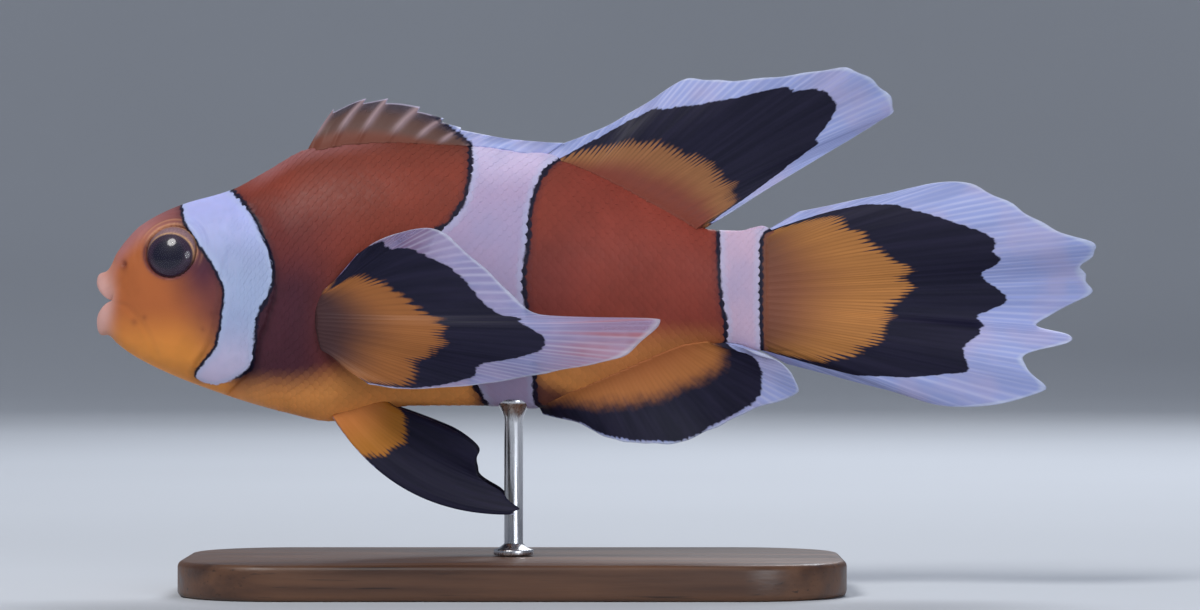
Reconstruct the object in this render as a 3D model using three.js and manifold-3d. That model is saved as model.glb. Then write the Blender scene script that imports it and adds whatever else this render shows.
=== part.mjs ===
// A longfin ocellaris clownfish, Amphiprion ocellaris, as a life-size still model on a display stand.
// Millimetres, +Z up. The fish swims towards -X, and its left side faces -Y.
// The origin is the middle of the stand's underside, below the rod.
import * as THREE from "three";
import { mergeVertices } from "three/addons/utils/BufferGeometryUtils.js";
import Module from "manifold-3d";

const wasm = await Module();
wasm.setup();

// ---------- driving dimensions ----------
// Fish coordinates: x runs back from the lips, z up from the mouth, y out from the middle.
const BODY_END = 58.4; // lips to the end of the flesh, inside the tail fin's base
const FLOOR_TO_MOUTH = 24.5;
const ROD_X = 35.5; // the rod meets the belly in its white band, near the balance point
const CUT = 0.1; // gap between neighbouring pieces
const FIN_THICKNESS = 0.56;
const FIN_ROOT_THICKNESS = 0.9;
const PAIRED_FIN_ROOT = 0.6;

// Body profiles: x, then the value there.
const BACK = [
  [0, 2.3], [0.6, 2.65], [1.1, 2.8], [1.7, 4.2], [2.6, 5.4], [3.9, 6.7], [7, 8.3], [11.6, 9.7],
  [14.4, 11.2], [17.9, 13.1], [22, 13.9], [26, 14.1], [30, 13.9], [38.6, 12.7], [42.8, 11.2],
  [49.6, 7.6], [52.2, 6.3], [54.7, 6.2], [56.6, 6.6], [BODY_END, 5.6],
];
const BELLY = [
  [0, -2.5], [0.6, -2.8], [1.1, -2.75], [1.7, -3.4], [3.7, -4.8], [8.6, -7], [15.9, -9.3], [20, -10.1],
  [24.6, -9.1], [27, -8.75], [32, -8.75], [37.1, -9], [40.3, -8.1], [47.9, -4.8], [50.5, -3.9],
  [53.5, -3.65], [56.6, -4.1], [BODY_END, -3.4],
];
const HALF_WIDTH = [
  [0, 0.7], [1.1, 1.6], [2.6, 2.5], [5.3, 3.5], [9.4, 4.35], [14.4, 5.15], [22, 5.5], [30, 5.15],
  [38.6, 4.1], [46.2, 2.7], [52.2, 1.8], [56.6, 0.95], [BODY_END, 0.4],
];
// How sharp the back is: 1 is round, more is a keel.
const BACK_KEEL = [[0, 1], [6, 1], [18, 1.3], [40, 1.35], [52, 1.1], [BODY_END, 1]];
const BELLY_KEEL = [[0, 1], [20, 1.05], [36, 1.1], [46, 1.2], [52, 1.1], [BODY_END, 1]];
const WIDEST_LEVEL = 0.54; // share of the depth, up from the belly, where the body is widest

// Mouth: lipX is where the lips turn in at the front and cornerX where they do at the corners. The opening
// between them is a lens that reaches rise above the level z, drop below it and halfWidth to each side.
const MOUTH = { z: 0.2, lipX: 0.5, cornerX: 1.75, backX: 3, lipForward: 0.48, fade: 4 };
const OPENING = { rise: 0.8, drop: 0.85, halfWidth: 1.45 };

// Eyes
const EYE = { x: 6.8, z: 4.2, radius: 2.35, depth: 1.5, proud: 0.5, forward: 13, up: 15 };

// ---------- curves ----------
// A monotone cubic through [x, value] rows, so that no profile overshoots between its points.
function along(rows, x) {
  if (x <= rows[0][0]) return rows[0][1];
  if (x >= rows.at(-1)[0]) return rows.at(-1)[1];
  const i = rows.findIndex((row) => row[0] > x) - 1;
  const step = (k) => rows[k + 1][0] - rows[k][0];
  const slope = (k) => (rows[k + 1][1] - rows[k][1]) / step(k);
  const tangent = (k) => {
    if (k === 0) return slope(0);
    if (k === rows.length - 1) return slope(k - 1);
    const [a, b] = [slope(k - 1), slope(k)];
    return a * b <= 0 ? 0 : (2 * a * b) / (a + b);
  };
  const h = step(i);
  const t = (x - rows[i][0]) / h;
  const [t2, t3] = [t * t, t * t * t];
  return (
    (2 * t3 - 3 * t2 + 1) * rows[i][1] +
    (t3 - 2 * t2 + t) * h * tangent(i) +
    (3 * t2 - 2 * t3) * rows[i + 1][1] +
    (t3 - t2) * h * tangent(i + 1)
  );
}

const mix = (a, b, t) => a + (b - a) * t;
const signedPower = (v, p) => Math.sign(v) * Math.abs(v) ** p;
const radians = THREE.MathUtils.degToRad;

// ---------- body ----------
// A point of the skin at x. Angle 0 is the back, a quarter turn the left flank and half a turn the belly.
function skin(x, angle, grow = 0) {
  const top = along(BACK, x) + grow;
  const bottom = along(BELLY, x) - grow;
  const middle = mix(bottom, top, WIDEST_LEVEL);
  const up = Math.cos(angle) >= 0;
  const keel = along(up ? BACK_KEEL : BELLY_KEEL, x);
  const halfWidth = along(HALF_WIDTH, x) + grow;
  return new THREE.Vector3(
    x,
    -halfWidth * signedPower(Math.sin(angle), keel),
    middle + (up ? top - middle : middle - bottom) * Math.cos(angle),
  );
}

// The whole body as one closed surface: from the back of the mouth, round the lips and along the flanks.
function bodySolid(grow = 0) {
  const AROUND = 28;
  const stations = [
    0.5, 0.8, 1.15, 1.6, 2.2, 3, 4, 5.2, 6.6, 8.2, 10, 12, 14.2, 16.6, 19, 21.5, 24, 27, 30, 33, 36,
    38.5, 41, 43.5, 46, 48.5, 50.7, 52.6, 54.4, 56, 57.3, BODY_END,
  ];
  const rim = (angle) => mix(MOUTH.cornerX, MOUTH.lipX, Math.abs(Math.cos(angle)) ** 1.3);
  const outer = (station, angle) => {
    const fade = Math.max(0, 1 - (station - MOUTH.lipX) / MOUTH.fade) ** 2;
    return skin(station + (rim(angle) - MOUTH.lipX) * fade, angle, grow);
  };
  const rings = [];
  const angles = Array.from({ length: AROUND }, (_, k) => (k / AROUND) * 2 * Math.PI);
  const ring = (point) => rings.push(angles.map(point));
  const opening = (angle) => {
    const level = Math.cos(angle);
    const height = (level > 0 ? OPENING.rise : OPENING.drop) * level ** 3;
    return new THREE.Vector3(rim(angle), -OPENING.halfWidth * Math.sin(angle), MOUTH.z + height);
  };
  const mouthBack = new THREE.Vector3(MOUTH.backX, 0, MOUTH.z);
  ring((angle) => opening(angle).lerp(mouthBack, 0.55));
  const ROLL_STEPS = 4;
  for (let k = ROLL_STEPS; k >= 1; k--) {
    const turn = (Math.PI * k) / ROLL_STEPS;
    ring((angle) => {
      const lip = outer(MOUTH.lipX, angle).lerp(opening(angle), (1 - Math.cos(turn)) / 2);
      const forward = MOUTH.lipForward * (0.35 + 0.65 * Math.abs(Math.cos(angle)));
      lip.x -= (forward + grow) * Math.sin(turn);
      return lip;
    });
  }
  for (const station of stations) ring((angle) => outer(station, angle));
  const tailLevel = mix(along(BELLY, BODY_END), along(BACK, BODY_END), 0.5);
  const tailPoint = new THREE.Vector3(BODY_END + 0.3 + grow, 0, tailLevel);
  return closedLoft([mouthBack, ...rings, tailPoint]);
}

// A solid from rings of points that starts and ends at a single point.
function closedLoft(rows) {
  const [first, last] = [rows[0], rows.at(-1)];
  const rings = rows.slice(1, -1);
  const count = rings[0].length;
  const points = [first, ...rings.flat(), last];
  const at = (i, k) => 1 + i * count + (k % count);
  const faces = [];
  for (let k = 0; k < count; k++) {
    faces.push([0, at(0, k), at(0, k + 1)]);
    for (let i = 0; i + 1 < rings.length; i++) {
      faces.push([at(i, k), at(i + 1, k), at(i + 1, k + 1)], [at(i, k), at(i + 1, k + 1), at(i, k + 1)]);
    }
    faces.push([at(rings.length - 1, k), points.length - 1, at(rings.length - 1, k + 1)]);
  }
  return facingOut(points, faces);
}

// ---------- solids ----------
function facingOut(points, faces) {
  const build = (triangles) =>
    new wasm.Manifold(
      new wasm.Mesh({
        numProp: 3,
        vertProperties: new Float32Array(points.flatMap((p) => [p.x, p.y, p.z])),
        triVerts: new Uint32Array(triangles.flat()),
      }),
    );
  const made = build(faces);
  return made.volume() < 0 ? build(faces.map(([a, b, c]) => [a, c, b])) : made;
}

function solidFrom(geometry, matrix = new THREE.Matrix4()) {
  const bare = geometry.clone().applyMatrix4(matrix);
  bare.deleteAttribute("normal");
  bare.deleteAttribute("uv");
  const merged = mergeVertices(bare, 1e-4);
  return new wasm.Manifold(
    new wasm.Mesh({
      numProp: 3,
      vertProperties: merged.attributes.position.array,
      triVerts: new Uint32Array(merged.index.array),
    }),
  );
}

const largest = (solid) => solid.decompose().reduce((a, b) => (a.volume() > b.volume() ? a : b));

// A slab across the fish, from y = near to y = far, whose outline in x and z is the given curve of points.
function slab(outline, near = -12, far = 12) {
  const shape = new THREE.Shape(outline.map(([x, z]) => new THREE.Vector2(x, z)));
  const geometry = new THREE.ExtrudeGeometry(shape, { depth: far - near, bevelEnabled: false });
  return solidFrom(geometry, new THREE.Matrix4().makeRotationX(Math.PI / 2).setPosition(0, far, 0));
}

// ---------- fins ----------
// A fin is a sheet between key rays. A key ray has x and z where it leaves the body, x and z where it ends,
// and its bow, the share of its length by which its middle stands off the straight line.
// swing(s, t, reach) gives y at share s across the fin, share t along a ray and so many mm from its root.
function finSolid({ rays, swing, across, along: steps, from = 0, to = 1, root = FIN_ROOT_THICKNESS }) {
  const column = (i) => rays.map((ray, k) => [k / (rays.length - 1), ray[i] ?? 0]);
  const [baseX, baseZ, tipX, tipZ, bow] = [0, 1, 2, 3, 4].map(column);
  const middle = (s, t) => {
    const base = new THREE.Vector2(along(baseX, s), along(baseZ, s));
    const ray = new THREE.Vector2(along(tipX, s), along(tipZ, s)).sub(base);
    const bend = 4 * t * (1 - t) * along(bow, s);
    const y = swing(s, t, ray.length() * t);
    return new THREE.Vector3(base.x + ray.x * t - ray.y * bend, y, base.y + ray.y * t + ray.x * bend);
  };
  const normal = (s, t) => {
    const d = 1e-3;
    const acrossFin = middle(s + d, t).sub(middle(s - d, t));
    const alongRay = middle(s, t + d).sub(middle(s, t - d));
    return acrossFin.cross(alongRay).normalize();
  };
  const points = [];
  for (const side of [1, -1]) {
    for (let i = 0; i <= across; i++) {
      for (let j = 0; j <= steps; j++) {
        const [s, t] = [mix(from, to, i / across), j / steps];
        const half = (side * mix(root, FIN_THICKNESS, Math.min(1, 3 * t))) / 2;
        points.push(middle(s, t).addScaledVector(normal(s, Math.max(t, 0.05)), half));
      }
    }
  }
  const layer = (across + 1) * (steps + 1);
  const at = (side, i, j) => side * layer + i * (steps + 1) + j;
  const faces = [];
  const quad = (a, b, c, d) => faces.push([a, b, c], [a, c, d]);
  for (let i = 0; i < across; i++) {
    for (let j = 0; j < steps; j++) {
      quad(at(0, i, j), at(0, i + 1, j), at(0, i + 1, j + 1), at(0, i, j + 1));
      quad(at(1, i, j), at(1, i, j + 1), at(1, i + 1, j + 1), at(1, i + 1, j));
    }
    quad(at(0, i, 0), at(1, i, 0), at(1, i + 1, 0), at(0, i + 1, 0));
    quad(at(0, i, steps), at(0, i + 1, steps), at(1, i + 1, steps), at(1, i, steps));
  }
  for (let j = 0; j < steps; j++) {
    quad(at(0, 0, j), at(0, 0, j + 1), at(1, 0, j + 1), at(1, 0, j));
    quad(at(0, across, j), at(1, across, j), at(1, across, j + 1), at(0, across, j + 1));
  }
  return facingOut(points, faces);
}

// Key rays, front to back for the fins on the middle line, top to bottom for the tail and the paired fins.
const DORSAL_SPINES = [
  [17.6, 12.2, 20.2, 16.5, 0.03], [20, 12.3, 23, 17.4, 0.08], [22, 12.5, 24.9, 17.4, 0.05],
  [24.4, 12.6, 27.7, 16.6, 0.06], [26.6, 12.6, 29.7, 15.6, 0.08], [28.6, 12.5, 31.2, 14.8, 0.08],
  [30.8, 12.2, 33.6, 14.2, 0.06], [33.6, 11.8, 36.5, 13.7, 0.04], [36.8, 11.2, 39.6, 13.45, 0.02],
];
const DORSAL_RAYS = [
  [37.2, 11.2, 39.8, 13.5], [39.4, 10.6, 43.2, 15], [41, 9.8, 47, 17.2], [42.5, 9.8, 50.6, 19.2],
  [43.9, 9.3, 54, 19], [45.2, 8.8, 59, 19.4], [46.4, 8.4, 63.6, 20], [47.6, 7.9, 66.6, 18.7, 0.02],
  [48.6, 7.3, 68.1, 16.6, 0.02], [49.4, 6.9, 66.4, 15.3, 0.02], [50.1, 6.5, 62.6, 13, 0.02],
  [50.7, 6.2, 57.2, 9.75, 0.02], [51.2, 6.15, 52.9, 7.05, 0.02],
];
const TAIL_RAYS = [
  [55, 5, 59.8, 7.8], [55.4, 4.6, 66.6, 9.2, 0.01], [55.6, 4, 73, 10.4, 0.02], [55.8, 3.4, 77.4, 8.8, 0.02],
  [56, 2.7, 81, 6.5, 0.01], [56, 2, 85.2, 4.6], [56, 1.3, 84, 2.9], [56, 0.6, 85, 1], [56, 0, 80.4, -1.8],
  [56, -0.7, 83.4, -3], [56, -1.3, 78.8, -4.8], [55.8, -1.9, 80.7, -7.3], [55.6, -2.4, 73.4, -8.9],
  [55.4, -2.8, 67.2, -7.4], [55, -3.2, 58.8, -5.2],
];
const ANAL_RAYS = [
  [37, -7.4, 38, -9.5], [38.8, -6.8, 41, -10.2], [40.6, -6, 43.4, -11.4], [42.6, -5.2, 46, -11.9],
  [44.6, -4.4, 49, -12], [46.6, -3.8, 52.4, -10.8], [48.2, -3.2, 56, -9.1], [49.4, -2.8, 59.8, -7.5],
  [50, -2.6, 58.4, -5.2], [50.4, -2.4, 55.2, -3.9],
];
const PECTORAL_RAYS = [
  [19.7, 0.8, 22.6, 4.1], [19.6, 0.4, 24.8, 5.4], [19.4, 0, 28.6, 6.3, 0.03], [19.3, -0.4, 33.2, 3, 0.06],
  [19.2, -0.9, 38.4, -1, -0.01], [19.2, -1.4, 47.8, -1.7, -0.01], [19.2, -1.9, 44.4, -4.6],
  [19.3, -2.4, 38.6, -5.8], [19.4, -2.9, 33, -6.8], [19.6, -3.4, 27, -7.2, -0.03],
  [19.8, -3.9, 23.6, -6.8, -0.04],
];
const PELVIC_RAYS = [
  [20.2, -9.7, 35.7, -17.8, -0.14], [21, -9.1, 36, -17.3, -0.11], [21.8, -8.7, 34.5, -15.9, -0.07],
  [22.5, -8.5, 32.4, -14.2, -0.02], [23, -8.4, 32.6, -12.6, 0.02], [23.4, -8.3, 30.8, -10.6, 0.02],
  [23.8, -8.1, 27.2, -9, 0.02],
];

const wave = (turns, phase, s) => Math.sin(2 * Math.PI * (turns * s + phase));
const medianSwing = (size, turns, phase) => (s, t) => size * t ** 1.6 * wave(turns, phase, s);
// Paired fins lie on the left, towards -y, and are mirrored to the right.
const spread = (reach, out, length) => out * (1 - Math.exp(-reach / length));
const pectoralSwing = (s, t, reach) => -(4.9 + spread(reach, 4.6, 7) + 0.5 * t * wave(2, 0.1, s));
const pelvicSwing = (s, t, reach) => -(1.2 + spread(reach, 3.2, 9) + 0.3 * t * wave(1.5, 0.2, s));

// ---------- pieces ----------
const body = bodySolid();
const clearOfBody = bodySolid(CUT);

// The gill cover's front edge is the preopercle's bend, and its rear edge bounds the head.
const GILL_REAR = [
  [12.6, 9], [14, 6.4], [15.2, 4], [15.6, 1.6], [15, -0.8], [14.2, -3], [13.6, -5.2], [11.6, -7.4],
];
const GILL_FRONT = [[11.6, 4.4], [11, 1.8], [10.6, -1], [10, -3.4], [8.8, -5.2]];
const shift = (points, dx) => points.map(([x, z]) => [x + dx, z]);
const [ABOVE, BELOW, AHEAD, BEHIND] = [24, -24, -4, 64];
const PEDUNCLE_X = 50.2;
const headRegion = slab([[AHEAD, BELOW], [AHEAD, ABOVE], [12, ABOVE], ...GILL_REAR, [10.6, BELOW]]);
const trunkRegion = slab([
  [10.6 + CUT, BELOW], ...shift(GILL_REAR, CUT).reverse(), [12 + CUT, ABOVE],
  [PEDUNCLE_X, ABOVE], [PEDUNCLE_X, BELOW],
]);
const peduncleRegion = slab([
  [PEDUNCLE_X + CUT, ABOVE], [BEHIND, ABOVE], [BEHIND, BELOW], [PEDUNCLE_X + CUT, BELOW],
]);
const JAW_LINE = [[3.3, -0.4], [4.6, -2.2], [5.6, -4.2], [5.4, -7]];
const jawRegion = slab([[AHEAD, MOUTH.z], [2.6, MOUTH.z], ...JAW_LINE, [AHEAD, -7]]);
const jawCut = slab([[AHEAD, MOUTH.z + CUT], [2.6, MOUTH.z + CUT], ...shift(JAW_LINE, CUT), [AHEAD, -7.2]]);

// Gill covers are the outer part of the head between the two edges. Their outline runs past the rear edge.
const GILL_INNER_Y = 3.1;
const gillFrontUpwards = [...GILL_FRONT].reverse();
const gillOutline = [[12.4, 5.8], [16, 5.8], [17, 1.6], [16, -5.2], ...gillFrontUpwards];
const widen = (points, distance) => {
  const centre = new THREE.Vector2();
  points.forEach(([x, z]) => centre.add(new THREE.Vector2(x, z).divideScalar(points.length)));
  return points.map(([x, z]) => {
    const out = new THREE.Vector2(x, z).sub(centre);
    return [x + (out.x / out.length()) * distance, z + (out.y / out.length()) * distance];
  });
};
const gillHole = widen(gillOutline, 1.5 * CUT);
const sideSlab = (outline, side, inner) =>
  side < 0 ? slab(outline, -12, -inner) : slab(outline, inner, 12);

function eyeMatrix(side, x = EYE.x) {
  const depth = Math.acos((EYE.z - mix(along(BELLY, x), along(BACK, x), WIDEST_LEVEL)) /
    ((along(BACK, x) - along(BELLY, x)) * (1 - WIDEST_LEVEL)));
  const surfaceY = -skin(x, depth).y;
  return new THREE.Matrix4().compose(
    new THREE.Vector3(x, side * (surfaceY + EYE.proud - EYE.depth), EYE.z),
    new THREE.Quaternion().setFromEuler(
      new THREE.Euler(radians(side * EYE.up), 0, radians(side * EYE.forward)),
    ),
    new THREE.Vector3(EYE.radius, EYE.depth, EYE.radius),
  );
}
const eyeSolid = (side, grow = 0) => {
  const matrix = eyeMatrix(side);
  const [wide, deep] = [1 + grow / EYE.radius, 1 + grow / EYE.depth];
  return solidFrom(new THREE.SphereGeometry(1, 16, 9), matrix.scale(new THREE.Vector3(wide, deep, wide)));
};

const materials = {
  skin: new THREE.MeshStandardMaterial({ color: 0xc2561c, roughness: 0.5 }),
  fin: new THREE.MeshStandardMaterial({ color: 0x1d1b33, roughness: 0.55 }),
  eye: new THREE.MeshStandardMaterial({ color: 0x16131f, roughness: 0.1 }),
  base: new THREE.MeshStandardMaterial({ color: 0x3c4046, roughness: 0.5 }),
  rod: new THREE.MeshStandardMaterial({ color: 0xb9bcc0, roughness: 0.3, metalness: 1 }),
};

const fish = new THREE.Group();
fish.position.set(-ROD_X, 0, FLOOR_TO_MOUTH);
const model = new THREE.Group();
model.add(fish);

function addPiece(name, solid, material, parent = fish) {
  const mesh = largest(solid).getMesh();
  const geometry = new THREE.BufferGeometry();
  geometry.setAttribute("position", new THREE.BufferAttribute(mesh.vertProperties.slice(), 3));
  geometry.setIndex(new THREE.BufferAttribute(mesh.triVerts.slice(), 1));
  geometry.computeVertexNormals();
  const piece = new THREE.Mesh(geometry, material);
  piece.name = name;
  parent.add(piece);
}

function addHead() {
  let skull = body.intersect(headRegion).subtract(jawCut);
  for (const [side, word] of [[-1, "left"], [1, "right"]]) {
    const cover = body.intersect(headRegion).intersect(sideSlab(gillOutline, side, GILL_INNER_Y));
    skull = skull.subtract(sideSlab(gillHole, side, GILL_INNER_Y - CUT)).subtract(eyeSolid(side, CUT));
    addPiece(`gill_cover_${word}`, cover, materials.skin);
    addPiece(`eye_${word}`, eyeSolid(side), materials.eye);
  }
  addPiece("head", skull, materials.skin);
  addPiece("lower_jaw", body.intersect(jawRegion), materials.skin);
}

function addTrunk() {
  addPiece("trunk", body.intersect(trunkRegion), materials.skin);
  addPiece("tail_peduncle", body.intersect(peduncleRegion), materials.skin);
}

function addMedianFins() {
  const notch = 0.98; // the spiny part stops just short of the soft part
  const spiny = { rays: DORSAL_SPINES, swing: medianSwing(0.4, 1.3, 0), to: notch };
  const fins = {
    dorsal_fin_spiny: { ...spiny, across: 22, along: 3 },
    dorsal_fin_soft: { rays: DORSAL_RAYS, swing: medianSwing(1.1, 1.6, 0), across: 20, along: 6 },
    tail_fin: { rays: TAIL_RAYS, swing: medianSwing(1.3, 2.2, 0.1), across: 28, along: 7 },
    anal_fin: { rays: ANAL_RAYS, swing: medianSwing(0.9, 1.5, 0.3), across: 16, along: 4 },
  };
  for (const [name, fin] of Object.entries(fins)) {
    addPiece(name, finSolid(fin).subtract(clearOfBody), materials.fin);
  }
}

function addPairedFins() {
  const root = PAIRED_FIN_ROOT;
  const fins = {
    pectoral_fin: { rays: PECTORAL_RAYS, swing: pectoralSwing, across: 18, along: 6, root },
    pelvic_fin: { rays: PELVIC_RAYS, swing: pelvicSwing, across: 10, along: 6, root },
  };
  for (const [name, fin] of Object.entries(fins)) {
    const left = finSolid(fin).subtract(clearOfBody);
    addPiece(`${name}_left`, left, materials.fin);
    addPiece(`${name}_right`, left.mirror([0, 1, 0]), materials.fin);
  }
}

// ---------- stand ----------
const BASE = { length: 56, width: 30, height: 3, corner: 9, bevel: 0.5 };
const ROD = { radius: 0.8, cupRadius: 1.5, cupHeight: 1.6, collarRadius: 1.7, collarHeight: 0.9 };

function addStand() {
  const [x, y, r] = [BASE.length / 2 - BASE.bevel, BASE.width / 2 - BASE.bevel, BASE.corner];
  const outline = new THREE.Shape();
  outline.absarc(x - r, y - r, r, 0, Math.PI / 2);
  outline.absarc(r - x, y - r, r, Math.PI / 2, Math.PI);
  outline.absarc(r - x, r - y, r, Math.PI, 1.5 * Math.PI);
  outline.absarc(x - r, r - y, r, 1.5 * Math.PI, 2 * Math.PI);
  const plate = new THREE.ExtrudeGeometry(outline, {
    depth: BASE.height - 2 * BASE.bevel,
    bevelThickness: BASE.bevel,
    bevelSize: BASE.bevel,
    bevelSegments: 1,
    curveSegments: 8,
  });
  const onFloor = new THREE.Matrix4().makeTranslation(0, 0, BASE.bevel);
  addPiece("stand_base", solidFrom(plate, onFloor), materials.base, model);

  const bellyZ = FLOOR_TO_MOUTH + along(BELLY, ROD_X);
  const foot = BASE.height + CUT;
  const profile = [
    [0, foot], [ROD.collarRadius, foot], [ROD.collarRadius, foot + ROD.collarHeight / 2],
    [ROD.radius, foot + ROD.collarHeight], [ROD.radius, bellyZ - ROD.cupHeight],
    [ROD.cupRadius, bellyZ - 0.3], [ROD.cupRadius, bellyZ + 1], [0, bellyZ + 1],
  ];
  const lathe = new THREE.LatheGeometry(profile.map(([px, py]) => new THREE.Vector2(px, py)), 16);
  const rod = solidFrom(lathe, new THREE.Matrix4().makeRotationX(Math.PI / 2));
  const toModel = clearOfBody.translate([-ROD_X, 0, FLOOR_TO_MOUTH]);
  addPiece("stand_rod", rod.subtract(toModel), materials.rod, model);
}

addHead();
addTrunk();
addMedianFins();
addPairedFins();
addStand();

export default model;
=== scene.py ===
import math

import bpy
import numpy as np
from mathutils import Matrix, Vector


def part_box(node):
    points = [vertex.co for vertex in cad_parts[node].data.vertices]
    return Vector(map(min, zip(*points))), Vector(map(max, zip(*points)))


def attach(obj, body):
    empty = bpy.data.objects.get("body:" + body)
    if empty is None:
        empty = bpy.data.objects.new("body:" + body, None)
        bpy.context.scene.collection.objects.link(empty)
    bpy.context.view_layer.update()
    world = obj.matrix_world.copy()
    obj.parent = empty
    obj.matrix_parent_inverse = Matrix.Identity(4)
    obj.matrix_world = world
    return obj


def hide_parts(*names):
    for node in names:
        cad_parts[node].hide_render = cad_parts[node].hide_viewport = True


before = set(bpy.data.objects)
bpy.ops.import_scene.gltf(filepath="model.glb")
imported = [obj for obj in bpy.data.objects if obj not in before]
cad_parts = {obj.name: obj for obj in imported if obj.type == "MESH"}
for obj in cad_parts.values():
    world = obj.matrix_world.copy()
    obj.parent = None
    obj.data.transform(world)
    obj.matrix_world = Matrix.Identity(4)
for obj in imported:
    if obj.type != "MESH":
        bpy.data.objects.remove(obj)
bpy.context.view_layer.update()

# A longfin ocellaris clownfish on its display stand: the looks.
# Lengths are in millimetres in fish coordinates until a mesh is made: x runs back from the lips, y out from
# the middle with the fish's left at -y, and z up from the mouth.

MM = 0.001
TURN = 2 * math.pi
FAR = 50.0  # stands for a distance out of reach

# ---------- the fish's shape, as in the solids ----------
# Side view and half width as (x, value) rows
BODY_END = 58.4
BACK = [
    (0, 2.3), (0.6, 2.65), (1.1, 2.8), (1.7, 4.2), (2.6, 5.4), (3.9, 6.7), (7, 8.3), (11.6, 9.7),
    (14.4, 11.2), (17.9, 13.1), (22, 13.9), (26, 14.1), (30, 13.9), (38.6, 12.7), (42.8, 11.2), (49.6, 7.6),
    (52.2, 6.3), (54.7, 6.2), (56.6, 6.6), (BODY_END, 5.6),
]
BELLY = [
    (0, -2.5), (0.6, -2.8), (1.1, -2.75), (1.7, -3.4), (3.7, -4.8), (8.6, -7), (15.9, -9.3), (20, -10.1),
    (24.6, -9.1), (27, -8.75), (32, -8.75), (37.1, -9), (40.3, -8.1), (47.9, -4.8), (50.5, -3.9),
    (53.5, -3.65), (56.6, -4.1), (BODY_END, -3.4),
]
HALF_WIDTH = [
    (0, 0.7), (1.1, 1.6), (2.6, 2.5), (5.3, 3.5), (9.4, 4.35), (14.4, 5.15), (22, 5.5), (30, 5.15),
    (38.6, 4.1), (46.2, 2.7), (52.2, 1.8), (54.6, 1.2), (56.6, 0.72), (57.1, 0.6), (57.6, 0.3),
    (BODY_END, 0.08),
]
BACK_KEEL = [(0, 1), (6, 1), (18, 1.3), (40, 1.35), (52, 1.1), (BODY_END, 1)]  # 1 is round, more is sharper
BELLY_KEEL = [(0, 1), (20, 1.05), (36, 1.1), (46, 1.2), (52, 1.1), (BODY_END, 1)]
WIDEST_LEVEL = 0.54  # share of the height from the belly up
COAT_DEPTH = 0.05  # the skin lies this far inside the solids, and the scales fill the rest

MOUTH_Z, LIP_X, CORNER_X, MOUTH_BACK_X = 0.2, 0.5, 1.75, 3.0
LIP_FORWARD, LIP_FADE = 0.48, 4.0
OPENING_RISE, OPENING_DROP, OPENING_HALF_WIDTH = 0.8, 0.85, 1.45
NOSTRIL_X, NOSTRIL_Z = 2.62, 3.25

EYE_X, EYE_Z, EYE_RADIUS, EYE_DEPTH, EYE_PROUD = 6.8, 4.2, 2.35, 1.5, 0.5
EYE_FORWARD, EYE_UP = math.radians(13), math.radians(15)
SOCKET, SOCKET_PULL = 2.38, 0.14  # the socket's radius and how far round it points are drawn in
PUPIL_RADIUS, IRIS_RADIUS = 1.4, 2.0
IRIS_SQUASH = 1.13  # how much wider than high the dark iris is
PUPIL_FORWARD, PUPIL_DOWN = 0.08, 0.4  # how far the pupil lies off the eyeball's middle

# Side-view curves as (z, x) rows
GILL_REAR = [
    (-8.4, 10.2), (-7.4, 11.6), (-5.2, 13.6), (-3, 14.2), (-0.8, 15), (1.6, 15.6), (4, 15.2), (6.4, 14),
    (9, 12.6),
]
GILL_FRONT = [(-5.2, 8.8), (-3.4, 10), (-1, 10.6), (1.8, 11), (4.4, 11.6)]
JAW_LINE = [(-4.6, 5.4), (-2.2, 4.4), (-0.5, 3), (0.1, 2.1)]

# White bands: front and rear edges as (z, x) rows, then the black margins' widths in front and behind and the
# levels between which the margins fade away below
NO_FADING = (-12, -11)  # both levels lie below the whole body
HEAD_BAND = (
    [(-6.95, 10.4), (-6.75, 9.2), (-6.2, 8.65), (-5.1, 9.4), (-3.7, 10.5), (-0.9, 11.1), (0.9, 11.3),
     (2.5, 10.7), (5.4, 8.8), (6.9, 7.8), (8.4, 7.4), (11, 7)],
    [(-6.95, 10.4), (-6.6, 11.6), (-5.9, 12.7), (-5.2, 13.4), (-3.2, 13.7), (-1.7, 13.8), (1.3, 15.1),
     (2.5, 15.3), (3.9, 15.1), (5.4, 14.5), (7.2, 13.6), (8.4, 12.6), (9.5, 11.5), (11, 10)],
    0.2, 0.26, (-7.3, -5.9),
)
MIDDLE_BAND = (
    [(-9.4, 33.7), (-8, 33), (-6, 31.8), (-4, 30.2), (-2, 28.6), (0, 27.6), (2, 27.6), (4, 28.2), (5.9, 29.2),
     (6.8, 30.3), (9.3, 31.7), (11.7, 32), (13.3, 31.9), (14.2, 31.2), (15.2, 30), (16.4, 28.6)],
    [(-9.3, 38.3), (-8.4, 37.2), (-6.3, 37.1), (-3, 36.7), (0, 36.4), (2, 36.2), (4.4, 36.5), (7.9, 36.8),
     (10.1, 37.4), (11.5, 38.2), (12.4, 39.3), (13, 40.6), (14.9, 43)],
    0.33, 0.33, NO_FADING,
)
TAIL_BAND = (
    [(-4.4, 53.5), (-2, 53.6), (0.3, 53.2), (3.3, 53), (6, 53), (7, 53)],
    [(-4.4, 56.5), (0, 56.3), (4, 56.3), (5.8, 56.5), (6.4, 57.3), (7.5, 58.2)],
    0.3, 0.28, NO_FADING,
)
BANDS = (HEAD_BAND, MIDDLE_BAND, TAIL_BAND)


def middle_of(node):
    low, high = (np.array(corner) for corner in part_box(node))
    return (low + high) / 2


# The fish stands where the frame has its eyes.
eyes_middle = (middle_of("eye_left") + middle_of("eye_right")) / 2
FISH_ORIGIN = eyes_middle / MM - np.array([EYE_X, 0, EYE_Z])


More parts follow.
